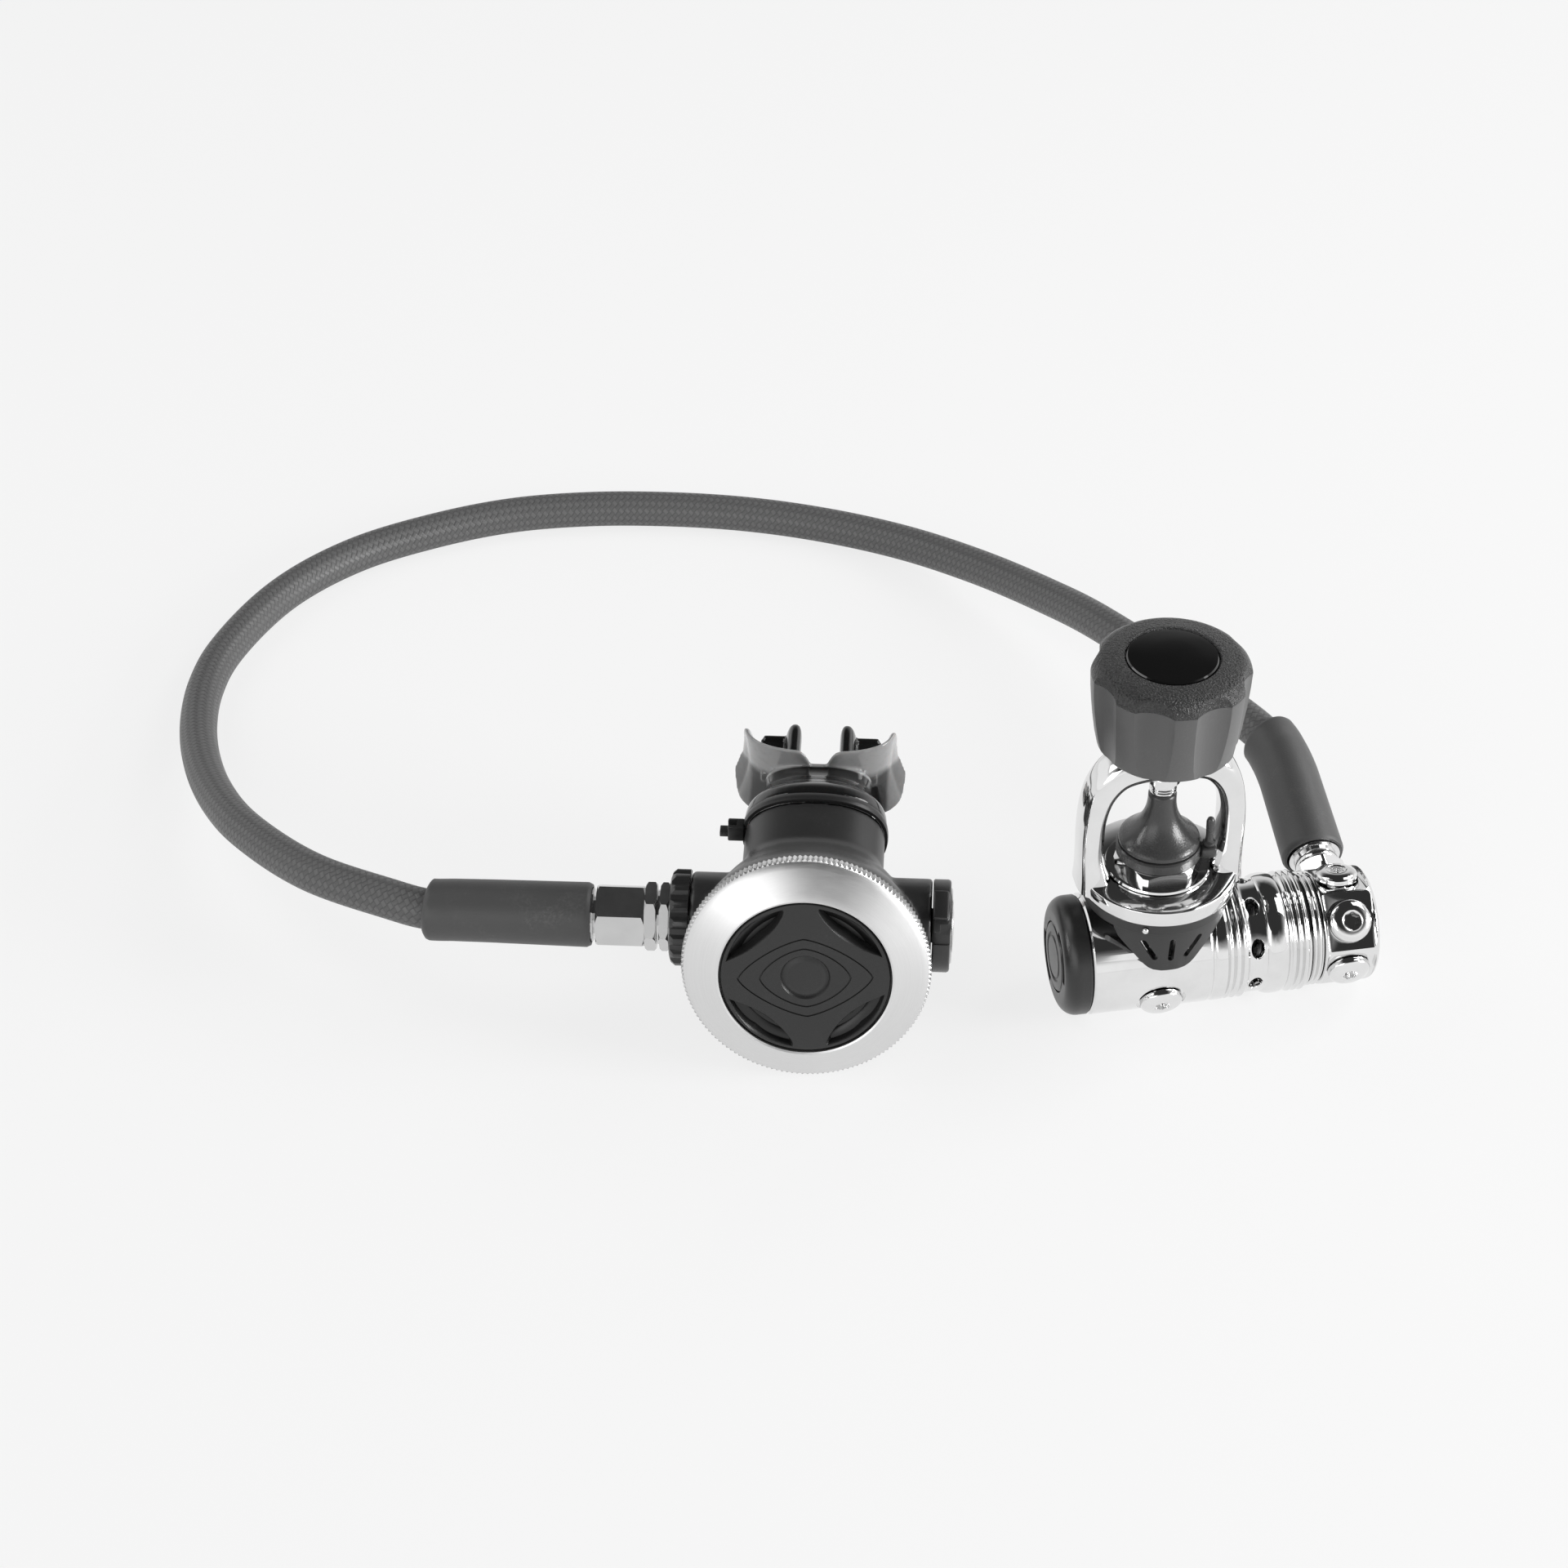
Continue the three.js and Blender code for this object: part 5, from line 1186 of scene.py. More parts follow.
@dataclass
class Plugs(Assembly):
    """The blanking plugs: one is made and the others are copies of it."""

    head: float = 6.3
    height: float = 3.0
    shank: float = 4.0

    def plug(self, length: float) -> Piece:
        """Make a domed plug along Z, its seat at 0, with a star socket."""
        dome = Draw.arc((3.2, 1.0), (self.head - 3.2, self.height - 1.05), 12, 90, 10)
        plug = Bench.turned(Axis.Z, [
            (0, -length), (self.shank - 0.4, -length), (self.shank, 0.4 - length), (self.shank, 0),
            (self.head - 0.2, 0), (self.head, 0.2), (self.head, 0.75), (self.head - 0.12, 0.95), *dome,
            (3.05, self.height), (2.75, self.height - 0.25), (0, self.height - 0.25)], FACES_MIDDLE)
        star = []
        for i in range(48):
            angle = TURN * i / 48
            r = 2.1 + 0.3 * math.cos(6 * angle)
            star.append(Draw.polar(r, angle))
        Bench.cut(plug, Bench.prism(Axis.Z, star, self.height - 2.1, self.height + 1))
        return plug

    def build(self, ports: Iterable[tuple[str, str, float, float, float]]) -> None:
        """Set a plug in each port.

        Args:
            ports: For each port the node, the body, its place along the axis, its angle and its seat.
        """
        model = self.plug(3.2)
        for node, body, x, angle, seat in ports:
            copy = Bench.copied(model)
            place = FIRST.matrix() @ FirstStageBody.outward(x, angle) @ Matrix.Translation((0, 0, seat + GAP))
            spin = spun(x * 7 + angle, "Z")
            self.deliver(copy, f"{node}_piece", place @ spin, CHROME, body, "chrome", [node], 40)
        bpy.data.objects.remove(model, do_unlink=True)


@dataclass
class Turret(Assembly):
    """The swivel turret with its fixed neck, its bolt and the hose's first fitting."""

    left: float = 48.4
    length: float = 17.0
    radius: float = 17.0
    flat: float = 14.7
    hub_radius: float = 11.0
    port_angles: tuple[float, ...] = (-19.0, 43.0, 105.0)
    hose_angle: float = 167.0
    neck: Flat = (44.5, 48.1)

    @property
    def right(self) -> float:
        """Give the turret's end face."""
        return self.left + self.length

    @property
    def port_x(self) -> float:
        """Give the place of the ring of ports."""
        return self.left + 0.48 * self.length

    def hub(self) -> Piece:
        """Turn the neck with its two ribs and the hub inside the turret."""
        start, end = self.neck
        r = self.radius
        return Bench.turned(Axis.X, [
            (4.3, 41), (13.6, 41), (13.6, start), (r - 0.9, start), (r - 0.25, start + 0.15),
            *Draw.ripple(start + 0.3, end - 0.3, 2, r - 0.9, r - 0.05), (r - 0.9, end),
            (self.hub_radius, end), (self.hub_radius, self.right - 5.5), (4.3, self.right - 5.5)], 112,
            loop=True)

    def housing(self) -> Piece:
        """Turn the housing and mill its four flats and ports."""
        r, end = self.radius, self.right
        turret = Bench.turned(Axis.X, [
            (self.hub_radius + GAP, self.left), (r - 0.6, self.left), (r - 0.15, self.left + 0.2),
            (r, self.left + 0.6), *Draw.arc((r - 2.6, end - 2.6), (2.6, 2.6), 0, 90, 10), (9.4, end),
            (9.0, end - 0.3), (7.9, end - 0.3), (7.9, end - 2.1), (4.3, end - 2.1), (4.3, end - 5.2),
            (self.hub_radius + GAP, end - 5.2)], FACES_FINE, loop=True)
        for angle in (*self.port_angles, self.hose_angle):
            milled = Bench.block((-7.6, -11, self.flat), (7.6, 11, 24), 1.2)
            port = Bench.rod(Axis.Z, 4.3, 9, self.flat + 2, 40)
            Bench.cut(turret, Bench.moved(milled, FirstStageBody.outward(self.port_x, angle)),
                      Bench.moved(port, FirstStageBody.outward(self.port_x, angle)))
        return Bench.bevel(turret, 0.16, 40)

    def bolt(self) -> Piece:
        """Turn the bolt in the turret's end, with a hexagon socket."""
        end = self.right
        bolt = Bench.turned(Axis.X, [
            (0, 44.5), (4, 44.5), (4, end - 1.8), (7.6, end - 1.8), (7.6, end - 0.6), (7.2, end - 0.25),
            (4.2, end - 0.22), (3.9, end - 0.5), (0, end - 0.5)], FACES_SMALL)
        Bench.cut(bolt, Bench.prism(Axis.X, Draw.hexagon(6.0), end - 3.2, end + 1))
        return bolt

    def fitting(self) -> Piece:
        """Turn the hose's fitting along Z, with its collar, hexagon and ferrule."""
        foot = self.flat + GAP
        shoulder = foot + 10
        end = shoulder + 22
        stem = Bench.turned(Axis.Z, [
            (2, foot - 3), (4, foot - 3), (4, foot), (6.7, foot), (7, foot + 0.3), (7, foot + 0.9),
            (6.3, foot + 1.3), (5.9, foot + 3), (5.9, foot + 6.3), (6.5, foot + 7), (6.6, foot + 8.2),
            (6.3, foot + 9), (6.6, shoulder), (7.8, shoulder + 0.2), (7.8, end), (2, end)], FACES_MIDDLE,
            loop=True)
        hexagon = Bench.prism(Axis.Z, Draw.hexagon(14.0, 30), foot + 1.2, foot + 6)
        cone = Bench.turned(Axis.Z, Draw.raised(foot, [
            (0, 1.2), (6.9, 1.2), (7.8, 1.9), (7.8, 5.3), (6.9, 6), (0, 6)]), FACES_MIDDLE)
        Bench.common(hexagon, cone)
        Bench.join(stem, hexagon)
        bore = Bench.rod(Axis.Z, 2, 0, end + 1, FACES_BORE)
        return Bench.cut(stem, bore)

    def build(self) -> None:
        """Make and dress the turret's pieces."""
        frame = FIRST.matrix()
        self.deliver_all(
            frame,
            (self.hub, "turret_neck", CHROME, "first_stage", "chrome", "turret_hub", 40),
            (self.bolt, "turret_end_bolt", CHROME, "first_stage", "chrome", "turret_bolt"),
            (self.housing, "turret_shell", CHROME, "turret", "chrome", "turret_housing", 30))
        place = frame @ FirstStageBody.outward(self.port_x, self.hose_angle)
        self.deliver(self.fitting(), "hose_fitting_first", place, CHROME, "turret", "chrome",
                     ["hose_end_first"])


@dataclass
class Yoke(Assembly):
    """The yoke with its retainer, its screw, its knob and the dust cap."""

    base: float = 26.3
    ring_radius: float = 23.0
    ring_top: float = 31.2
    top: float = 75.0
    knob_radius: float = 22.7
    knob_foot_radius: float = 20.0
    knob_height: float = 30.0
    knob_shoulder: float = 24.3
    knob_round: float = 4.6
    flutes: int = 8
    first_flute: float = 18.5
    flute_radius: float = 10.4
    flute_depths: Flat = (1.0, 2.4)
    disc_radius: float = 13.0
    retainer_top: float = 36.0
    dust_top: float = 58.2
    pitch: float = 1.75
    path: tuple[Row, ...] = (
        # x, z, half width in the loop's plane, half depth
        (-19.0, 27.5, 5.6, 8.6), (-19.6, 31.5, 4.8, 7.6), (-20.5, 38.0, 3.9, 6.5), (-20.8, 46.0, 3.7, 6.2),
        (-20.3, 54.0, 3.75, 6.2), (-18.3, 61.5, 4.2, 6.2), (-14.0, 67.2, 4.8, 6.25), (-7.5, 69.6, 5.2, 6.3),
        (0.0, 69.75, 5.25, 6.3))

    def loop(self) -> Piece:
        """Sweep the loop's rounded section up one arm, across the bridge and down the other."""
        half = [tuple(row) for row in self.path]
        rows = half + Draw.mirrored(half[:-1])
        line = Draw.through(rows, 8)
        rings = []
        for i, (x, z, wide, deep) in enumerate(line):
            before, after = line[max(i - 1, 0)], line[min(i + 1, len(line) - 1)]
            ahead = Vector((after[0] - before[0], after[1] - before[1])).normalized()
            rings.append((x, z, ahead.y, -ahead.x, wide, deep))

        def shape(u: float, v: float) -> Spot:
            """Place one corner of the swept skin."""
            x, z, nx, nz, wide, deep = rings[round(v * (len(rings) - 1))]
            a, b = Draw.oval(TURN * u, wide, deep, 2.9)
            return (x + nx * a, b, z + nz * a)

        return Bench.skin(FACES_SMALL, len(rings) - 1, shape)

    def yoke(self) -> Piece:
        """Join the loop to its ring and bore both."""
        loop = self.loop()
        low, top, r = self.base, self.ring_top, self.ring_radius
        ring = Bench.turned(Axis.Z, [
            (12.7, low), (r - 0.7, low), (r - 0.2, low + 0.2), (r, low + 0.7), (r, top - 0.9),
            (r - 0.3, top - 0.3), (r - 1.0, top), (12.7, top)], FACES_FINE, loop=True)
        Bench.cut(loop, Bench.block((-40, -20, low - 5), (40, 20, low + 1.4)),
                  Bench.rod(Axis.Z, 16.4, 0, top + 0.6))
        Bench.join(ring, loop)
        Bench.cut(ring, Bench.rod(Axis.Z, 5.3, 60, 78, 48))
        return ring

    def retainer(self) -> Piece:
        """Make the retainer: thread, flange, hexagon with turned corners, and nozzle."""
        flange, top = self.ring_top + GAP, self.retainer_top
        nut = Bench.turned(Axis.Z, [
            (3, 13), (9, 13), (9, self.base), (12.3, self.base), (12.3, flange), (15.0, flange),
            (15.3, flange + 0.3), (15.0, flange + 0.9), (14.2, flange + 1.0), (7, flange + 1.0),
            (7, top + 2.6), (4.1, top + 2.6), (4.1, top - 2.6), (3, top - 2.6)], loop=True)
        hexagon = Bench.prism(Axis.Z, Draw.hexagon(23.5), flange + 0.7, top)
        cone = Bench.turned(Axis.Z, [(6, flange + 0.7), (13.1, flange + 0.7), (13.1, top - 0.9), (11.9, top),
                                     (6, top)], loop=True)
        Bench.common(hexagon, cone)
        return Bench.join(nut, hexagon)

    def dust_cap(self) -> Piece:
        """Turn the concave cap with its thick rim."""
        low, top = self.retainer_top + GAP, self.dust_top
        foot = low + 4.0
        slope = [(4.1 + 7.55 * (1 - t) ** 2.6, foot + 1.5 + (top - foot - 2.3) * t)
                 for t in [i / 18 for i in range(19)]]
        return Bench.turned(Axis.Z, [
            (7.4, low), (9.3, low), (9.3, foot), (11.4, foot), (11.8, foot + 0.4), (11.8, foot + 1.1), *slope,
            (3.6, top - 0.15), (3.0, top), (0, top), (0, foot + 1), (7.4, foot + 1)], 80)

    def strap(self) -> Piece:
        """Make the strap's ring with its lug."""
        low, top = self.retainer_top + GAP, self.retainer_top + 4.0
        ring = Bench.turned(Axis.Z, [
            (9.6, low), (12.0, low), (12.4, low + 0.4), (12.4, top - 0.5), (11.9, top), (9.6, top)], 80,
            loop=True)
        Bench.join(ring, Bench.block((11.0, -7.0, low + 0.3), (15.6, -2.2, top), 0.7))
        return ring

    def peg(self) -> Piece:
        """Turn the soft peg that stands in the lug."""
        foot = self.retainer_top + 4.3
        peg = Bench.turned(Axis.Z, Draw.raised(foot, [
            (0, 0), (1.7, 0), (1.9, 0.3), (1.9, 1.0), (1.2, 1.5), (1.05, 3.5), (1.2, 6.2), (1.25, 8.4),
            (0.9, 9.4), (0.4, 9.8), (0, 9.8)]), FACES_BORE)
        return Bench.moved(peg, Matrix.Translation((13.6, -4.6, 0)))

    def tip(self) -> Piece:
        """Turn the screw's swivelling tip."""
        foot = self.dust_top + GAP
        return Bench.turned(Axis.Z, Draw.raised(foot, [
            (0, 0), (3.4, 0), (3.9, 0.3), (4, 0.7), (4, 1.0), (3.7, 1.3), (4, 1.6), (4, 1.9), (3.7, 2.2),
            (4, 2.5), (4, 3.2), (3.8, 3.55), (2, 3.55), (2, 7.6), (0, 7.6)]), 56)

    def screw(self) -> Piece:
        """Cut the screw's thread as a helix in a round bar, smooth at its foot."""
        low, high = self.dust_top + 4.3, self.top + 17.0
        rows = 150

        def shape(u: float, v: float) -> Spot:
            """Place one corner of the thread."""
            z = low + (high - low) * v
            tooth = abs(((z / self.pitch - u) % 1.0) * 2 - 1)
            cut = 0.75 * min(1.0, max(0.0, (z - low - 2.0) / 1.5))
            r = 4.98 - cut * (1 - tooth) - (0.5 if v < 0.006 else 0.0)
            return (*Draw.polar(r, TURN * u), z)

        return Bench.skin(FACES_SMALL, rows, shape)

    def knob(self) -> Piece:
        """Turn the swelling knob and cut its flutes, which arch where they meet the shoulder."""
        foot = self.top + 1
        top = foot + self.knob_height
        r, small, rise, turn = self.knob_radius, self.knob_foot_radius, self.knob_shoulder, self.knob_round
        swell = [(small + (r - small) * (1 - (1 - t) ** 1.6), foot + rise * t)
                 for t in (0.2, 0.4, 0.6, 0.8, 0.99)]
        knob = Bench.turned(Axis.Z, [
            (5.3, foot), (small - 1.6, foot), (small - 0.6, foot + 0.25), (small, foot + 1.0), *swell,
            *Draw.arc((r - turn, foot + rise), (turn, turn), 0, 82, 12),
            (self.disc_radius + 1.4, top - 0.35), (self.disc_radius + 0.7, top - 0.4),
            (self.disc_radius + GAP, top - 0.8), (self.disc_radius + GAP, top - 1.6), (0, top - 1.6),
            (0, self.top + 17.3), (5.3, self.top + 17.3)], 144)
        foot_depth, top_depth = self.flute_depths
        lean = math.atan2(r - top_depth - small + foot_depth, rise)
        for i in range(self.flutes):
            scoop = Bench.rod(Axis.Z, self.flute_radius, -6, 40)
            spin = spun(self.first_flute + 360 * i / self.flutes, "Z")
            put = Matrix.Translation((small + self.flute_radius - foot_depth, 0, foot))
            put = put @ Matrix.Rotation(lean, 4, "Y")
            Bench.cut(knob, Bench.moved(scoop, spin @ put))
        return Bench.bevel(knob, 0.35, 16, 3)

    def knob_disc(self) -> Piece:
        """Turn the knob's domed gloss disc."""
        base = self.top + 1 + self.knob_height - 1.3
        return Bench.turned(Axis.Z, Draw.raised(base, [
            (0, 0), (self.disc_radius, 0), (self.disc_radius, 0.7), (self.disc_radius - 0.4, 1.05),
            (self.disc_radius - 2, 1.2), (6.5, 1.4), (0, 1.5)]))

    def build(self) -> None:
        """Make and dress the yoke's pieces."""
        frame = FIRST.matrix()
        fixed, chrome, rubber = "first_stage", "chrome", "black_rubber"
        self.deliver_all(
            frame,
            (self.yoke, "yoke_forging", CHROME, fixed, chrome, "yoke", 40),
            (self.retainer, "yoke_retainer_nut", CHROME, fixed, chrome, "yoke_retainer", 18),
            (self.dust_cap, "dust_cap_cone", CAP_RUBBER, fixed, rubber, "dust_cap", 40),
            (self.strap, "dust_cap_ring", CAP_RUBBER, fixed, rubber, "dust_cap_strap"),
            (self.peg, "strap_toggle", CAP_RUBBER, fixed, rubber, "strap_peg", 50),
            (self.tip, "screw_end", CHROME, "screw_carriage", chrome, "screw_tip"),
            (self.screw, "threaded_screw", CHROME, "knob", chrome, "yoke_screw", 50),
            (self.knob, "fluted_knob", GRAINED_BLACK, "knob", "black_plastic", "yoke_knob", 30),
            (self.knob_disc, "knob_lens", LENS_BLACK, "knob", "gloss_black", "knob_badge"))


# ------------------------------------------------------------------ second stage
@dataclass
class SecondStageCase(Assembly):
    """The case with its cover ring, purge cover, air-guide knob and exhaust tee."""

    drop: float = -3.0
    flange_radius: float = 34.0
    ring_radius: float = 36.0
    opening_radius: float = 24.8
    back: float = -18.7
    front: float = -27.2
    barrel_radius: float = 13.5
    barrel: Flat = (-34.4, 35.4)
    tube_radius: float = 8.3
    knurls: int = 150
    rings: tuple[Row, ...] = (
        # distance back, middle's height, half width, half height
        (-20.0, -3.0, 34.0, 34.0), (-18.4, -3.0, 34.0, 34.0), (-15.0, -2.9, 33.8, 33.6),
        (-11.0, -2.2, 32.9, 31.6), (-6.0, -0.9, 30.9, 28.0), (-1.0, 0.7, 28.3, 23.9), (4.0, 2.2, 27.0, 20.4),
        (9.0, 3.4, 24.5, 17.2), (13.0, 4.1, 22.3, 15.2), (17.0, 4.8, 20.9, 14.3))

    @staticmethod
    def exhaust_place() -> Matrix:
        """Give the frame of the exhaust port, whose Z points out of the case."""
        return Matrix.Translation((0, 5.4, -20.7)) @ spun(-131.6, "X")

    def lowered(self, piece: Piece) -> Piece:
        """Move a piece from the outlet's height to the cover's middle."""
        return Bench.moved(piece, Matrix.Translation((0, 0, self.drop)))

    def skin(self, grow: float, stretch: float = 0.0) -> Piece:
        """Wrap the case's outer form, grown or shrunk by a distance."""
        rows = Draw.through([tuple(row) for row in self.rings], 5)
        last = len(rows) - 1

        def shape(u: float, v: float) -> Spot:
            """Place one corner of the case."""
            i = round(v * last)
            y, middle, rx, rz = rows[i]
            power = 2.0 + 0.3 * i / last
            x, z = Draw.oval(-TURN * u, rx + grow, rz + grow, power)
            return (x, y + stretch * (2 * i / last - 1), middle + z)

        return Bench.skin(96, last, shape)

    @staticmethod
    def tube(low: float, high: float, rx: float, rz: float) -> Piece:
        """Make an oval bar along the outlet."""
        outline = [Draw.oval(TURN * i / 80, rx, rz, 2.3) for i in range(80)]
        return Bench.moved(Bench.prism(Axis.Y, outline, low, high), OUTLET.matrix())

    def case(self) -> Piece:
        """Join the case's form, its barrels and its outlet, fillet them, then hollow them out."""
        r = self.barrel_radius
        low, high = self.barrel
        solid = self.skin(0.0)
        Bench.join(solid,
                   Bench.turned(Axis.X, [(0, low), (r - 0.8, low), (r, low + 0.8), (r, -10), (0, -10)]),
                   Bench.turned(Axis.X, [(0, 10), (r, 10), (r, high - 0.5), (r - 0.5, high), (0, high)]),
                   self.tube(-4, 18.3, 20.8, 14.3),
                   Bench.moved(Bench.rod(Axis.Z, 12, -8, 0, FACES_SMALL), self.exhaust_place()))
        Bench.melted(solid, 0.62, 9)
        spigot = self.tube(10, 27.3, 19.4, 12.9)
        Bench.join(solid, spigot)
        plate = Bench.rod(Axis.Z, 9, -14, 1, 48)
        Bench.cut(solid, self.skin(-2.4, 2.5), self.tube(-8, 35, 17.5, 11.0),
                  Bench.rod(Axis.X, self.tube_radius, -60, 60, FACES_SMALL),
                  Bench.moved(plate, self.exhaust_place()))
        return solid

    def cover_ring(self) -> Piece:
        """Turn the cover ring and press the fine knurl into its rim."""
        r, back, front, inner = self.ring_radius, self.back, self.front, self.opening_radius
        ring = Bench.turned(Axis.Y, [
            (34.4, back), (r - 0.7, back), (r - 0.05, back - 0.3), (r - 0.05, back - 2.6),
            (r - 0.75, back - 2.95), (r - 0.85, back - 3.3), (r - 1.3, back - 3.75), (33.5, back - 4.5),
            (30.5, back - 6.1), (27.5, back - 7.55), (26.2, back - 8.2), (inner + 0.6, front),
            (inner + 0.1, front + 0.25), (inner, front + 0.6), (inner, front + 1.2), (27, front + 1.2),
            (27, front + 3.2), (29.5, back - 2.7), (34.4, back - 2.7)], 2 * self.knurls, loop=True)
        for corner in ring.data.vertices:
            flat = Vector((corner.co.x, corner.co.z))
            column = round(math.atan2(flat.y, flat.x) / TURN * 2 * self.knurls)
            if flat.length > r - 0.2 and column % 2:
                corner.co.x *= (r - 0.75) / r
                corner.co.z *= (r - 0.75) / r
        return self.lowered(ring)

    def purge(self) -> Piece:
        """Make the purge cover: a cross between four deep windows, with lozenge grooves."""
        front = self.front + GAP
        edge = self.opening_radius - 0.45
        disc = Bench.turned(Axis.Y, Draw.raised(front, [
            (0, 0.35), (4.6, 0.35), (5.6, 0.5), (6.3, 0.95), (6.7, 1.0), (7.2, 0.4), (8.0, 0.25),
            (15.0, 0.12), (edge - 0.8, 0.02), (edge - 0.25, 0.2), (edge, 0.6), (edge, 1.3), (26.5, 1.3),
            (26.5, 2.2), (edge, 2.3), (edge, 3.4), (12, 3.5), (0, 3.5)]), FACES_FINE)
        for wide, high, corner in ((19.5, 13.0, 1.35), (13.2, 9.8, 1.5)):
            outer = self.lozenge(wide, high, corner)
            inner = self.lozenge(wide - 0.5, high - 0.5, corner)
            ring = Bench.prism(Axis.Y, outer, front - 3, front + 0.6)
            Bench.cut(ring, Bench.prism(Axis.Y, inner, front - 5, front + 2))
            Bench.cut(disc, Bench.moved(ring, spun(-3, "Y")))
        for quarter in range(4):
            turn = spun(180 * (quarter // 2) - 4, "Y")
            Bench.cut(disc, Bench.moved(self.window(front, -1 if quarter % 2 else 1), turn))
        return self.lowered(disc)

    @staticmethod
    def window(front: float, side: int) -> Piece:
        """Wrap the space of one window: flared at the face, with walls that lean in."""
        lens = Draw.arc((0, 0), (22.9, 22.9), 17, 76, 20)
        lens += Draw.through([(5.3, 21.6), (6.0, 19.8), (8.3, 16.4), (12.4, 12.4), (16.8, 9.2), (21.2, 7.0)],
                             6)
        middle = (14.0, 15.0)
        rows = [(-3.0, 0.9), (-0.15, 0.9), (0.15, 0.55), (0.5, 0.2), (1.0, 0.0), (2.2, -0.5), (3.2, -1.1),
                (6.0, -1.1)]
        count = len(lens)

        def shape(u: float, v: float) -> Spot:
            """Place one corner of the window's space."""
            a, b = lens[round(u * count) % count]
            deep, grow = rows[round(v * (len(rows) - 1))]
            away = Vector((a - middle[0], (b - middle[1]))).normalized()
            return (side * (a + away.x * grow), front + deep, b + away.y * grow)

        return Bench.skin(count, len(rows) - 1, shape)

    def diaphragm(self) -> Piece:
        """Turn the diaphragm's rubber, dished back so that the pressed cover clears it."""
        face = self.back - 1.3
        rim = self.flange_radius - 0.4
        rubber = Bench.turned(Axis.Y, Draw.raised(face, [
            (19.5, 1.5), (24.6, 1.5), (25.8, 1.2), (26.6, 0.1), (28.0, -1.1), (rim, -1.1), (rim, -0.3),
            (28.6, -0.3), (27.3, 0.9), (26.5, 2.0), (25.0, 2.3), (19.5, 2.3)]), loop=True)
        return self.lowered(rubber)

    def window_floor(self) -> Piece:
        """Turn the dished floor behind the purge cover's windows; its near-black finish is painted shade."""
        back = self.front + 4.35
        floor = Bench.turned(Axis.Y, Draw.raised(back, [
            (12.4, -0.25), (16.5, -0.2), (17.0, -0.45), (20.0, -0.5), (20.5, -0.9), (22.6, -1.6),
            (24.2, -1.6), (24.2, 0), (12.4, 0)]), loop=True)
        return self.lowered(floor)

    @staticmethod
    def lozenge(wide: float, high: float, corner: float) -> list[Flat]:
        """Give a lozenge with round corners by its half sizes and how square it is."""
        return [Draw.oval(TURN * i / 72, wide, high, corner) for i in range(72)]

    def air_knob(self) -> Piece:
        """Turn the air-guide knob, with its thumb rib and its stepped notch."""
        left, right = self.barrel[1] + GAP, self.barrel[1] + 5.5
        r = self.barrel_radius
        knob = Bench.turned(Axis.X, [
            (0, 22), (5, 22), (5, left), (r - 0.4, left), (r, left + 0.4), (r, right - 0.9),
            (r - 0.3, right - 0.25), (r - 0.9, right), (11.3, right), (11.3, right - 1), (0, right - 1)], 112)
        rib = Bench.block((left, -4.5, r - 1), (right - 0.6, 4.5, r + 1.3), 0.6)
        Bench.join(knob, Bench.moved(rib, spun(35, "X")))
        for turn, low in ((-14.0, left - 1), (-24.0, left + 2.2)):
            notch = Bench.block((low, -1.9, r - 0.9), (right + 1, 1.9, r + 2), 0.25)
            Bench.cut(knob, Bench.moved(notch, spun(turn + 90, "X")))
        return Bench.bevel(knob, 0.15, 50)

    def air_disc(self) -> Piece:
        """Turn the satin disc in the air-guide knob, with two plain rings."""
        base = self.barrel[1] + 4.8
        return Bench.turned(Axis.X, Draw.raised(base, [
            (0, 0), (11, 0), (11, 0.9), (10.6, 1.2), (8.6, 1.25), (8.3, 1.05), (7.9, 1.05), (7.6, 1.4),
            (4.0, 1.65), (0, 1.75)]))

    def tee(self) -> Piece:
        """Wrap the exhaust tee, open at both ends, and fit it to the case."""
        rows = Draw.through([(-31, 13, -25.88, 9, 7), (-25, 12.3, -25.5, 10.9, 7.6),
                             (-18, 11.6, -25.03, 12.4, 8.4), (-9, 10.9, -24.3, 13.8, 9.1),
                             (0, 10.5, -24.03, 14.4, 9.3)], 5)
        rows += Draw.mirrored(rows[:-1])
        last = len(rows) - 1

        def wrap(wall: float, stretch: float) -> Callable[[float, float], Spot]:
            """Give the rule of the tee's skin, a wall's thickness inside it if asked."""
            def shape(u: float, v: float) -> Spot:
                """Place one corner of the tee."""
                x, y, z, a, b = rows[round(v * last)]
                dy, dz = Draw.oval(TURN * u, a - wall, b - wall, 2.6)
                return (x * stretch, y + dy, z + dz)
            return shape

        tee = Bench.skin(FACES_SMALL, last, wrap(0.0, 1.0))
        Bench.cut(tee, Bench.skin(FACES_SMALL, last, wrap(1.8, 1.06)), self.skin(0.35, 0.5),
                  Bench.moved(Bench.rod(Axis.Z, 12.3, -30, 3.4, FACES_SMALL),
                              self.exhaust_place()))
        return self.largest(tee)

    @staticmethod
    def largest(piece: Piece) -> Piece:
        """Keep the biggest loose part of a piece and drop the rest."""
        Bench.open(piece)
        bpy.ops.mesh.separate(type="LOOSE")
        bpy.ops.object.mode_set(mode="OBJECT")
        parts = sorted(bpy.context.selected_objects, key=lambda part: len(part.data.vertices), reverse=True)
        for part in parts[1:]:
            bpy.data.objects.remove(part, do_unlink=True)
        Bench.hold(parts[0])
        return parts[0]

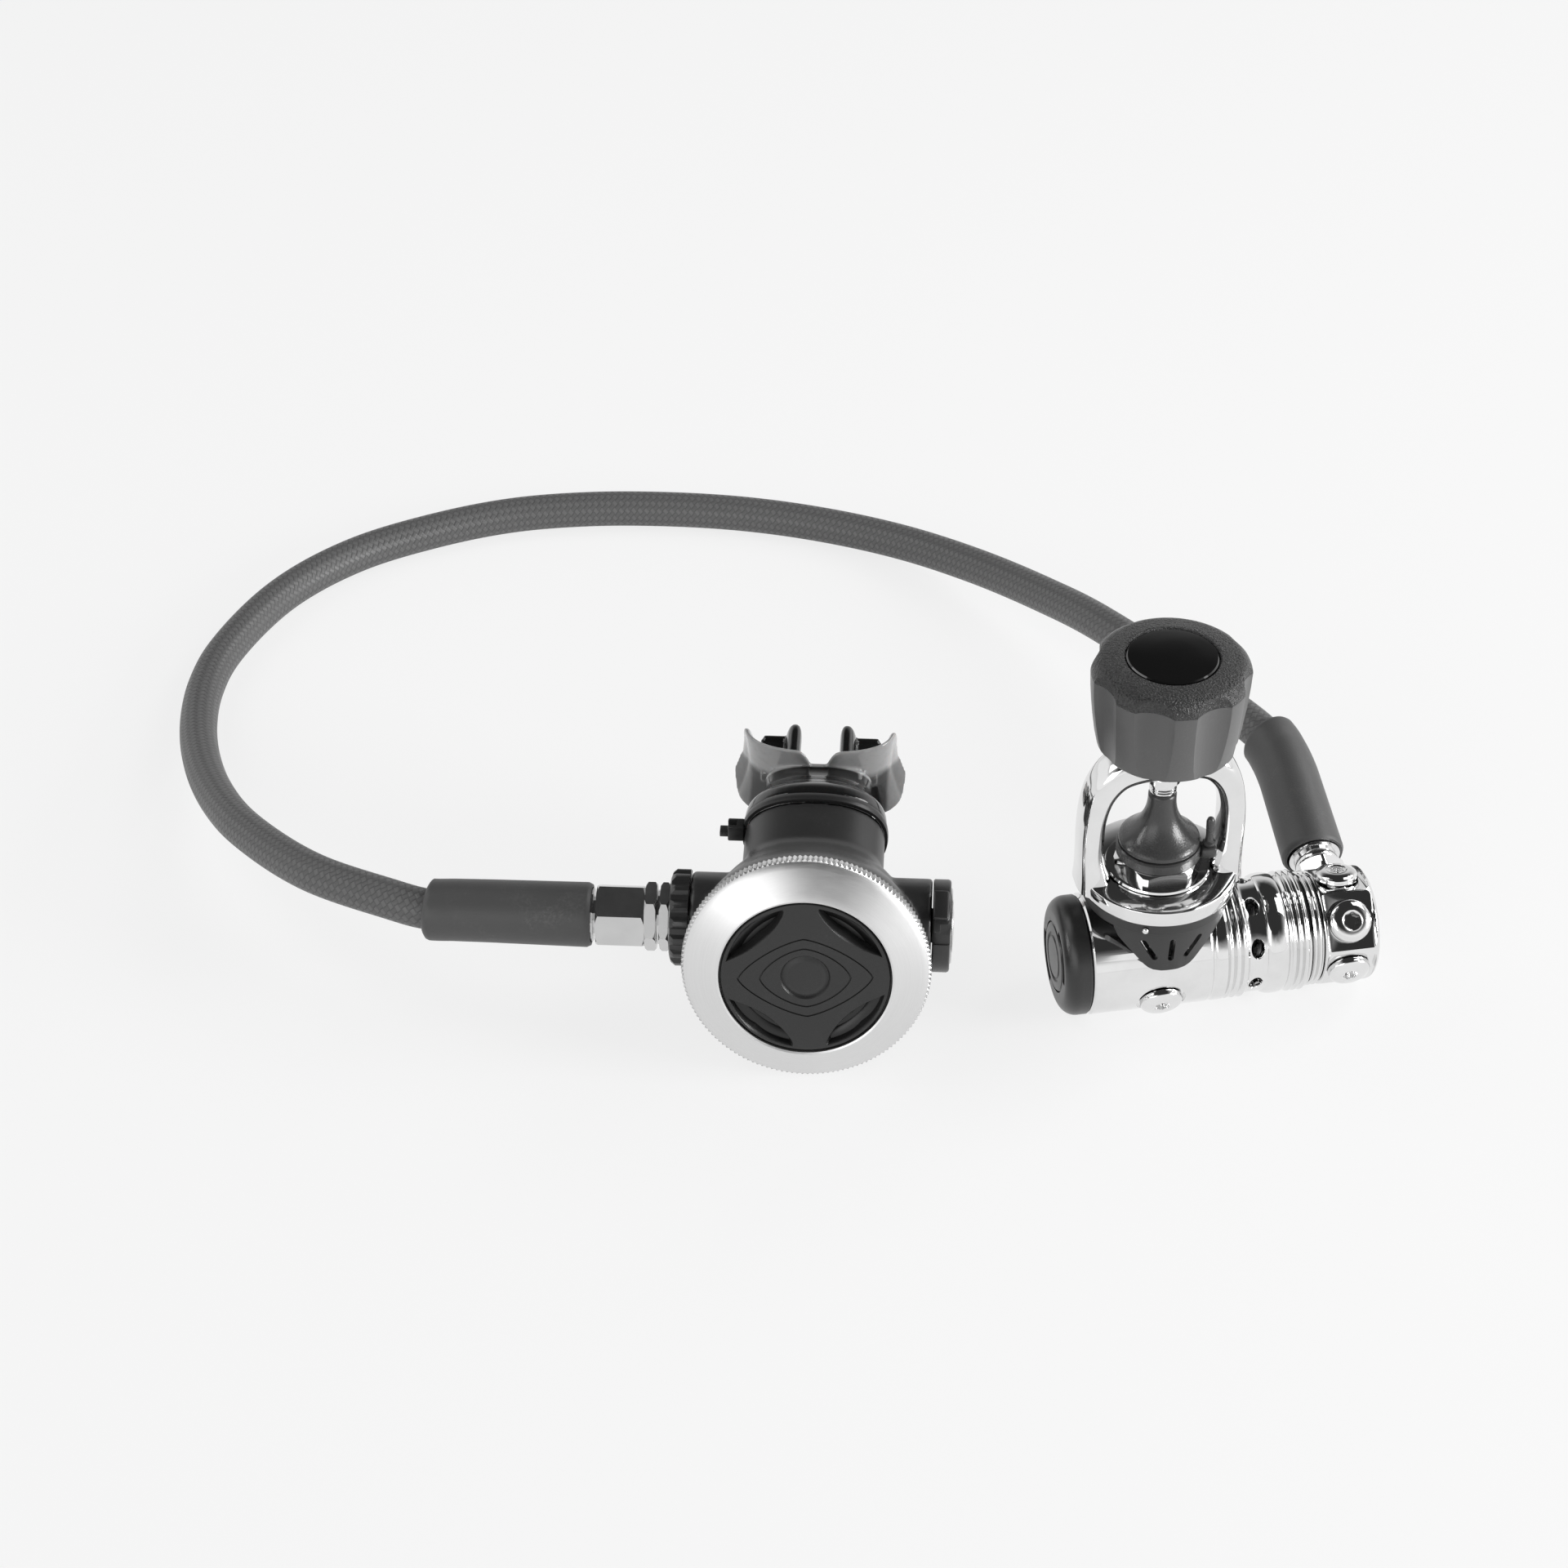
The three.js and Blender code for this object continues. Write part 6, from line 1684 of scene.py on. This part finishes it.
    def build(self) -> None:
        """Make and dress the case's pieces."""
        frame = SECOND.matrix()
        body, black, satin = "second_stage", "black_plastic", "satin_metal"
        middle = tuple(frame @ Vector((0, 0, self.drop)))
        turned = BrushedMetal("turned cover ring", 0.75, 0.38, spread=0.10, marks=0.003, middle=middle,
                              turn=(90.0 - SECOND.tilt, 0.0, 0.0), lines=0.14)
        self.deliver_all(
            frame,
            (self.case, "case_shell", CASE_BLACK, body, black, "case", 40),
            (self.cover_ring, "cover_ring_knurled", turned, body, satin, "cover_ring", 28),
            (self.purge, "purge_cover_cross", COVER_BLACK, "purge", black, "purge_cover"),
            (self.window_floor, "purge_window_floor", WINDOW_SHADE_BLACK, "purge", black, ""),
            (self.air_knob, "air_guide_knob", SATIN_BLACK, "air_guide", black, "venturi_knob"),
            (self.air_disc, "air_guide_disc", SATIN_NUT, "air_guide", satin, "venturi_badge"),
            (self.tee, "exhaust_tee_shell", SATIN_BLACK, body, black, "exhaust_tee", 45),
            (self.diaphragm, "diaphragm_rubber", CAP_RUBBER, body, "silicone", "diaphragm"))
        for node, finish in (("diaphragm_plate", DARK_STEEL), ("valve_tube", SATIN_NUT),
                             ("inlet_seat", OLD_BRASS), ("poppet", SATIN_BLACK),
                             ("poppet_spring", DARK_STEEL), ("demand_lever", DARK_STEEL),
                             ("exhaust_valve", CAP_RUBBER)):
            self.dress(node, finish)


@dataclass
class Inlet(Assembly):
    """The nuts between the hose and the case, and the ribbed cap."""

    tube_left: float = -43.9
    ring_across: float = 17.6
    nut_across: float = 17.0
    nut: Flat = (-61.8, -47.6)
    cap_radius: float = 13.5
    ribs: int = 16

    def chamfered(self, across: float, low: float, high: float, turn: float, bite: float) -> Piece:
        """Make a hexagon bar along X with its corners turned off at both ends."""
        bar = Bench.prism(Axis.X, Draw.hexagon(across, turn), low, high)
        r = across / math.sqrt(3)
        cone = Bench.turned(Axis.X, [(0, low), (r - bite, low), (r, low + bite * 0.8), (r, high - bite * 0.8),
                                     (r - bite, high), (0, high)])
        return Bench.common(bar, cone)

    def swivel_nut(self) -> Piece:
        """Make the long swivel nut with a corner to the front."""
        low, high = self.nut
        nut = self.chamfered(self.nut_across, low, high, 33.0, 1.0)
        return Bench.cut(nut, Bench.rod(Axis.X, 6.2, low - 1, high + 1, FACES_SMALL))

    def adapter(self) -> Piece:
        """Turn the adapter with its hexagon ring."""
        face = self.tube_left - GAP
        end = face - 10.4
        bar = Bench.turned(Axis.X, [
            (2.6, end), (5.4, end), (5.9, end + 0.5), (5.9, face - 3.4), (8, face - 3.4), (8, face),
            (5.7, face), (5.7, -30.3), (2.6, -30.3)], FACES_MIDDLE, loop=True)
        Bench.join(bar, self.chamfered(self.ring_across, face - 3.4, face - 0.1, 9.5, 0.8))
        return Bench.cut(bar, Bench.rod(Axis.X, 2.6, -70, -20, FACES_BORE))

    def lock_nut(self) -> Piece:
        """Make the lock nut, a thin hexagon ring."""
        ring = self.chamfered(self.ring_across, self.tube_left + 0.6, self.tube_left + 3.3, 9.5, 0.8)
        return Bench.cut(ring, Bench.rod(Axis.X, 8.3, -60, 0, FACES_SMALL))

    def cap(self) -> Piece:
        """Make the ribbed cap with a rounded rim."""
        low, high = self.tube_left + 3.6, -34.7
        outline = []
        for i in range(self.ribs * 12):
            wave = math.cos(TURN * i / 12)
            r = self.cap_radius + 0.1 + 0.55 * max(-1.0, min(1.0, wave * 1.8))
            angle = TURN * i / (self.ribs * 12)
            outline.append(Draw.polar(r, angle))
        cap = Bench.prism(Axis.X, outline, low, high)
        r = self.cap_radius + 0.7
        cone = Bench.turned(Axis.X, [(0, low), (r - 2.4, low), (r - 1.0, low + 0.5), (r, low + 1.7),
                                     (r, high), (0, high)], FACES_FINE)
        Bench.common(cap, cone)
        return Bench.cut(cap, Bench.rod(Axis.X, 8.3, -60, 0, FACES_SMALL))

    def build(self) -> None:
        """Make and dress the inlet's pieces."""
        frame = SECOND.matrix()
        body, satin = "second_stage", "satin_metal"
        self.deliver_all(
            frame,
            (self.swivel_nut, "swivel_nut_hex", SATIN_NUT, body, satin, "swivel_nut", 25),
            (self.adapter, "inlet_adapter_hex", SATIN_NUT, body, satin, "inlet_adapter", 25),
            (self.lock_nut, "inlet_lock_ring", SATIN_NUT, body, satin, "inlet_lock_nut", 25),
            (self.cap, "ribbed_inlet_cap", SATIN_BLACK, body, "black_plastic", "inlet_cap", 40))
        self.dress("hose_end_second", SATIN_NUT)


@dataclass
class Mouthpiece(Assembly):
    """The silicone mouthpiece and its tie, in the outlet's frame."""

    mouth: float = 18.6
    half_width: float = 22.0
    depth: float = 12.7
    top: float = 13.0
    bottom: float = 10.4
    wall: float = 2.0
    tab_reach: float = 46.4

    @property
    def back(self) -> float:
        """Give the place of the flange's ends."""
        return self.mouth + 38.0

    def oval_rows(self, rows: Sequence[Sequence[float]], power: float = 2.3) -> Piece:
        """Wrap a skin through oval rows of distance, half width and half height."""
        line = Draw.through(rows, 5)
        last = len(line) - 1

        def shape(u: float, v: float) -> Spot:
            """Place one corner of the skin."""
            y, rx, rz = line[round(v * last)]
            x, z = Draw.oval(-TURN * u, rx, rz, power)
            return (x, self.mouth + y, z)

        return Bench.skin(FACES_MIDDLE, last, shape)

    def flange(self) -> Piece:
        """Wrap the curved wall that lies between lips and teeth, notched in its middle."""
        power = 2.6

        def line(v: float) -> Flat:
            """Give a point of the wall's middle line, seen from above."""
            x, y = Draw.oval(math.pi * (1 + v), self.half_width, self.depth, power)
            return (x, y)

        def shape(u: float, v: float) -> Spot:
            """Place one corner of the wall: v runs from end to end, u round its section."""
            v = 0.5 + 0.5 * math.sin(math.pi * (v - 0.5) * 0.98)
            x, y = line(v)
            before, after = line(max(v - 0.004, 0.0)), line(min(v + 0.004, 1.0))
            ahead = Vector((after[0] - before[0], after[1] - before[1])).normalized()
            end = max(0.0, (abs(2 * v - 1) - 0.86) / 0.14)
            side = min(1.0, abs(x) / 15)
            across, b = Draw.oval(TURN * u, 1.0, 1.0, 3.0)
            notch = 7.9 * math.exp(-(abs(x) / 3.4) ** 2.4)
            high = (self.top - notch) * (1 - 0.30 * end ** 2.5)
            low = (self.bottom + 1.6 * side * (1 - end)) * (1 - 0.42 * end ** 2.0)
            middle = 1.0 + 0.6 * end
            z = middle + b * ((high - middle) if b > 0 else (low + middle))
            thick = self.wall * (0.5 + 0.10 * abs(b)) * (1 + 0.5 * end)
            lean = (3.1 * max(0.0, -b) ** 1.5 * (0.25 + 0.75 * side) + 0.5 * max(0.0, b) ** 3
                    - 0.9 * (1 - b * b) * side)
            reach = across * thick + lean + 1.5 * end * max(0.0, 1 - abs(b + 0.25))
            return (x + ahead.y * reach, self.back + y - ahead.x * reach, z)

        return Bench.skin(56, 128, shape)

    def bite_tab(self, side: float) -> Piece:
        """Make one bite tab: a shelf from the wall and a rounded upright block at its inner end."""
        root, end = self.mouth + 25.4, self.mouth + self.tab_reach
        outline = [(17.4, root + 2.0), (18.2, root + 8.0), (18.4, end - 3.0), (17.4, end - 1.2),
                   (12.0, end - 0.7), (7.0, end - 0.6), (6.6, root)]
        shelf = Bench.prism(Axis.Z, [(side * x, y) for x, y in outline], -1.5, 1.5)
        for height in (1.5, -1.5):
            rib = Bench.block((7.0, end - 3.4, height - 0.7), (17.6, end - 1.4, height + 0.7), 0.4)
            Bench.join(shelf, Bench.moved(rib, Matrix.Diagonal((side, 1, 1, 1))))

        def shape(u: float, v: float) -> Spot:
            """Place one corner of the upright block."""
            reach = 2 * v - 1
            size = max(0.0, 1 - abs(reach) ** 6) ** (1 / 3)
            x, z = Draw.oval(TURN * u, 2.5 * size, (5.9 - 1.6 * (1 - v)) * size, 2.3)
            return (side * (8.7 - 0.12 * (z + 2)) - x, (root + end) / 2 + (end - root) / 2 * reach, 1.9 + z)

        return Bench.join(shelf, Bench.skin(FACES_BORE, 40, shape))

    def body(self) -> Piece:
        """Join neck, flange and tabs, fillet them and bore the airway."""
        neck = self.oval_rows([[0, 20.9, 14.4], [1.0, 21.2, 14.7], [3.9, 21.2, 14.7], [5.0, 21.3, 14.8],
                               [8.6, 20.9, 14.4], [12.0, 19.0, 12.5], [15.5, 17.1, 10.5], [19.0, 16.2, 8.5],
                               [22.5, 16.0, 7.7], [25.8, 16.2, 7.6]])
        groove = self.oval_rows([[0.3, 21.4, 14.9], [3.6, 21.4, 14.9]])
        Bench.cut(groove, self.oval_rows([[-3, 20.3, 13.8], [7, 20.3, 13.8]]))
        Bench.cut(neck, groove)
        Bench.join(neck, self.flange(), self.bite_tab(-1.0), self.bite_tab(1.0))
        Bench.melted(neck, 0.5, 6)
        Bench.cut(neck, self.oval_rows([[-1, 19.7, 13.2], [3, 19.7, 13.2], [9.4, 19.7, 13.2]]),
                  self.oval_rows([[8.5, 16.5, 10.4], [12, 14.0, 8.7], [16, 11.6, 6.7], [20, 10.3, 5.8],
                                  [27, 9.5, 5.2]]))
        return neck

    def tie(self) -> Piece:
        """Make the tie's band, its buckle and its cut tail."""
        band = self.oval_rows([[0.4, 21.6, 15.1], [1.9, 21.8, 15.3], [3.4, 21.6, 15.1]])
        base = self.mouth
        buckle = Bench.block((-25.9, base - 1.2, -1.0), (-21.0, base + 3.3, 4.4), 0.45)
        tail = Bench.block((-28.3, base - 0.7, 0.2), (-24.0, base + 2.8, 1.9), 0.3)
        slot = Bench.block((-27.0, base - 0.1, 2.4), (-23.2, base + 2.2, 6.0), 0.2)
        Bench.cut(buckle, slot)
        Bench.join(band, buckle, tail)
        return Bench.cut(band, self.oval_rows([[-3, 20.45, 13.95], [7, 20.45, 13.95]]))

    def build(self) -> None:
        """Make and dress the mouthpiece's pieces."""
        frame = outlet_matrix()
        rows = [tuple(row) for row in frame.inverted()][:3]
        smoky = Silicone("smoky silicone", 0.010, 0.14, pale=0.32, across=rows[0], back=rows[1], up=rows[2],
                         wing_start=self.mouth + 24.2, edge=(0.0, 3.5))
        body = "second_stage"
        self.deliver_all(
            frame,
            (self.body, "mouthpiece_body", smoky, body, "silicone", "mouthpiece", 50),
            (self.tie, "mouthpiece_band", SATIN_BLACK, body, "black_plastic", "mouthpiece_tie"))


# ------------------------------------------------------------------ studio
LAMPS: tuple[tuple[str, Spot, Flat, float], ...] = (
    # name, place in metres, sides in metres, watts
    ("left_top", (-1.05, 0.25, 1.25), (0.9, 0.9), 4.5),
    ("right_top", (0.95, 0.25, 1.25), (0.8, 0.8), 4.5),
    ("front_left", (-1.0, -1.2, 0.75), (1.2, 0.9), 6.0),
    ("right_back", (1.0, 0.75, 1.0), (0.35, 0.5), 3.5),
    ("right_low", (1.15, -0.30, 0.38), (0.5, 0.5), 13.0))


@dataclass
class Studio:
    """Camera, pale floor and soft light."""

    aim: Spot = (-0.06013, 0.08392, 0.0)
    distance: float = 1.247
    raised: float = 38.0
    lens: float = 90.0
    floor_grey: float = 0.82
    backdrop: float = 0.905
    evenness: float = 0.82
    glow: float = 0.968
    dark_wall: float = 0.035
    pale_wall: float = 1.0
    middle: Spot = (-0.03, 0.03, 0.02)

    def camera(self) -> None:
        """Set the camera."""
        tilt = math.radians(self.raised)
        spot = Vector(self.aim) + self.distance * Vector((0, -math.cos(tilt), math.sin(tilt)))
        bpy.ops.object.camera_add(location=spot, rotation=(math.pi / 2 - tilt, 0, 0))
        camera = bpy.context.object
        camera.name = "camera"
        camera.data.lens = self.lens
        camera.data.sensor_width = 36.0
        camera.data.clip_start = 0.01
        bpy.context.scene.camera = camera

    def floor(self) -> None:
        """Lay the floor: pale to the camera and to mirrors, with the object's shadow."""
        bpy.ops.mesh.primitive_plane_add(size=14.0, location=(0, 0, -0.0002))
        floor = bpy.context.object
        floor.name = "floor"
        made = bpy.data.materials.new("floor paper")
        made.use_nodes = True
        shop = NodeShop(made.node_tree)
        paper = shop.add("ShaderNodeBsdfDiffuse", {}, {"Color": grey(self.floor_grey)})
        plain = shop.add("ShaderNodeEmission", {}, {"Color": grey(self.glow), "Strength": 1.0})
        seen = (shop.ray("Camera") + shop.ray("Glossy") + shop.ray("Transmission")).clipped()
        shop.end(shop.add("ShaderNodeMixShader", {}, {0: seen * self.evenness, 1: paper, 2: plain}))
        floor.data.materials.append(made)
        floor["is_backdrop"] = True

    def world(self) -> None:
        """Give the room: pale low down all round, grey side walls and a dark ceiling."""
        world = bpy.data.worlds.new("room")
        bpy.context.scene.world = world
        world.use_nodes = True
        shop = NodeShop(world.node_tree)
        where = shop.add("ShaderNodeTexCoord", {}, {}, "Generated")
        x, y, z = shop.parts(where)
        uneven = shop.noise(where, 420.0, 3.0, 0.55)
        low = 1 - (z + (uneven - 0.5) * 0.35).ramp(0.20, 0.62)
        side = x.size().ramp(0.50, 0.85)
        behind = y.ramp(0.25, 0.75)
        pale = (low * (1 - behind * 0.25) + side * (0.25 + uneven * 0.5)).clipped()
        wall = shop.blend(pale, grey(self.dark_wall), grey(self.pale_wall))
        shade = shop.blend(shop.ray("Camera"), wall, grey(self.backdrop))
        shop.end(shop.add("ShaderNodeBackground", {}, {"Color": shade, "Strength": 1.0}),
                 "ShaderNodeOutputWorld")

    def lamp(self, name: str, spot: Spot, size: Flat, watts: float) -> None:
        """Add one soft rectangular lamp that looks at the object's middle."""
        turn = (Vector(self.middle) - Vector(spot)).to_track_quat("-Z", "Y").to_euler()
        bpy.ops.object.light_add(type="AREA", location=spot, rotation=turn)
        light = bpy.context.object
        light.name = name
        light.data.shape = "RECTANGLE"
        light.data.size, light.data.size_y = size
        light.data.energy = watts

    def build(self) -> None:
        """Build the studio."""
        Bench.clear()
        self.camera()
        self.floor()
        self.world()
        for name, spot, size, watts in LAMPS:
            self.lamp(name, spot, size, watts)
        bpy.context.scene.view_settings.view_transform = "Standard"


def write_sizes(before: object) -> None:
    """Gather the model's box and the finished object's box in a record that is not kept."""
    def plain(corners: object) -> list[list[float]]:
        """Turn two corners into lists."""
        return [[float(v) for v in corner] for corner in corners]

    {"cad": plain(before), "visual": plain(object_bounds())}


def main() -> None:
    """Build the set, assembly by assembly."""
    logging.basicConfig(level=logging.INFO, format="%(name)s: %(message)s")
    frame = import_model()
    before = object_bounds()
    Studio().build()
    Hose().build()
    body = FirstStageBody()
    body.build()
    turret = Turret()
    turret.build()
    ports = [("high_plug_front", "first_stage", body.plug_x, body.plug_angles[0], body.plug_seat),
             ("high_plug_rear", "first_stage", body.plug_x, body.plug_angles[1], body.plug_seat)]
    ports += [(f"low_plug_{i + 1}", "turret", turret.port_x, angle, turret.flat)
              for i, angle in enumerate(turret.port_angles)]
    Plugs().build(ports)
    Yoke().build()
    SecondStageCase().build()
    Inlet().build()
    Mouthpiece().build()
    write_sizes(before)


if __name__ == "__main__":
    main()
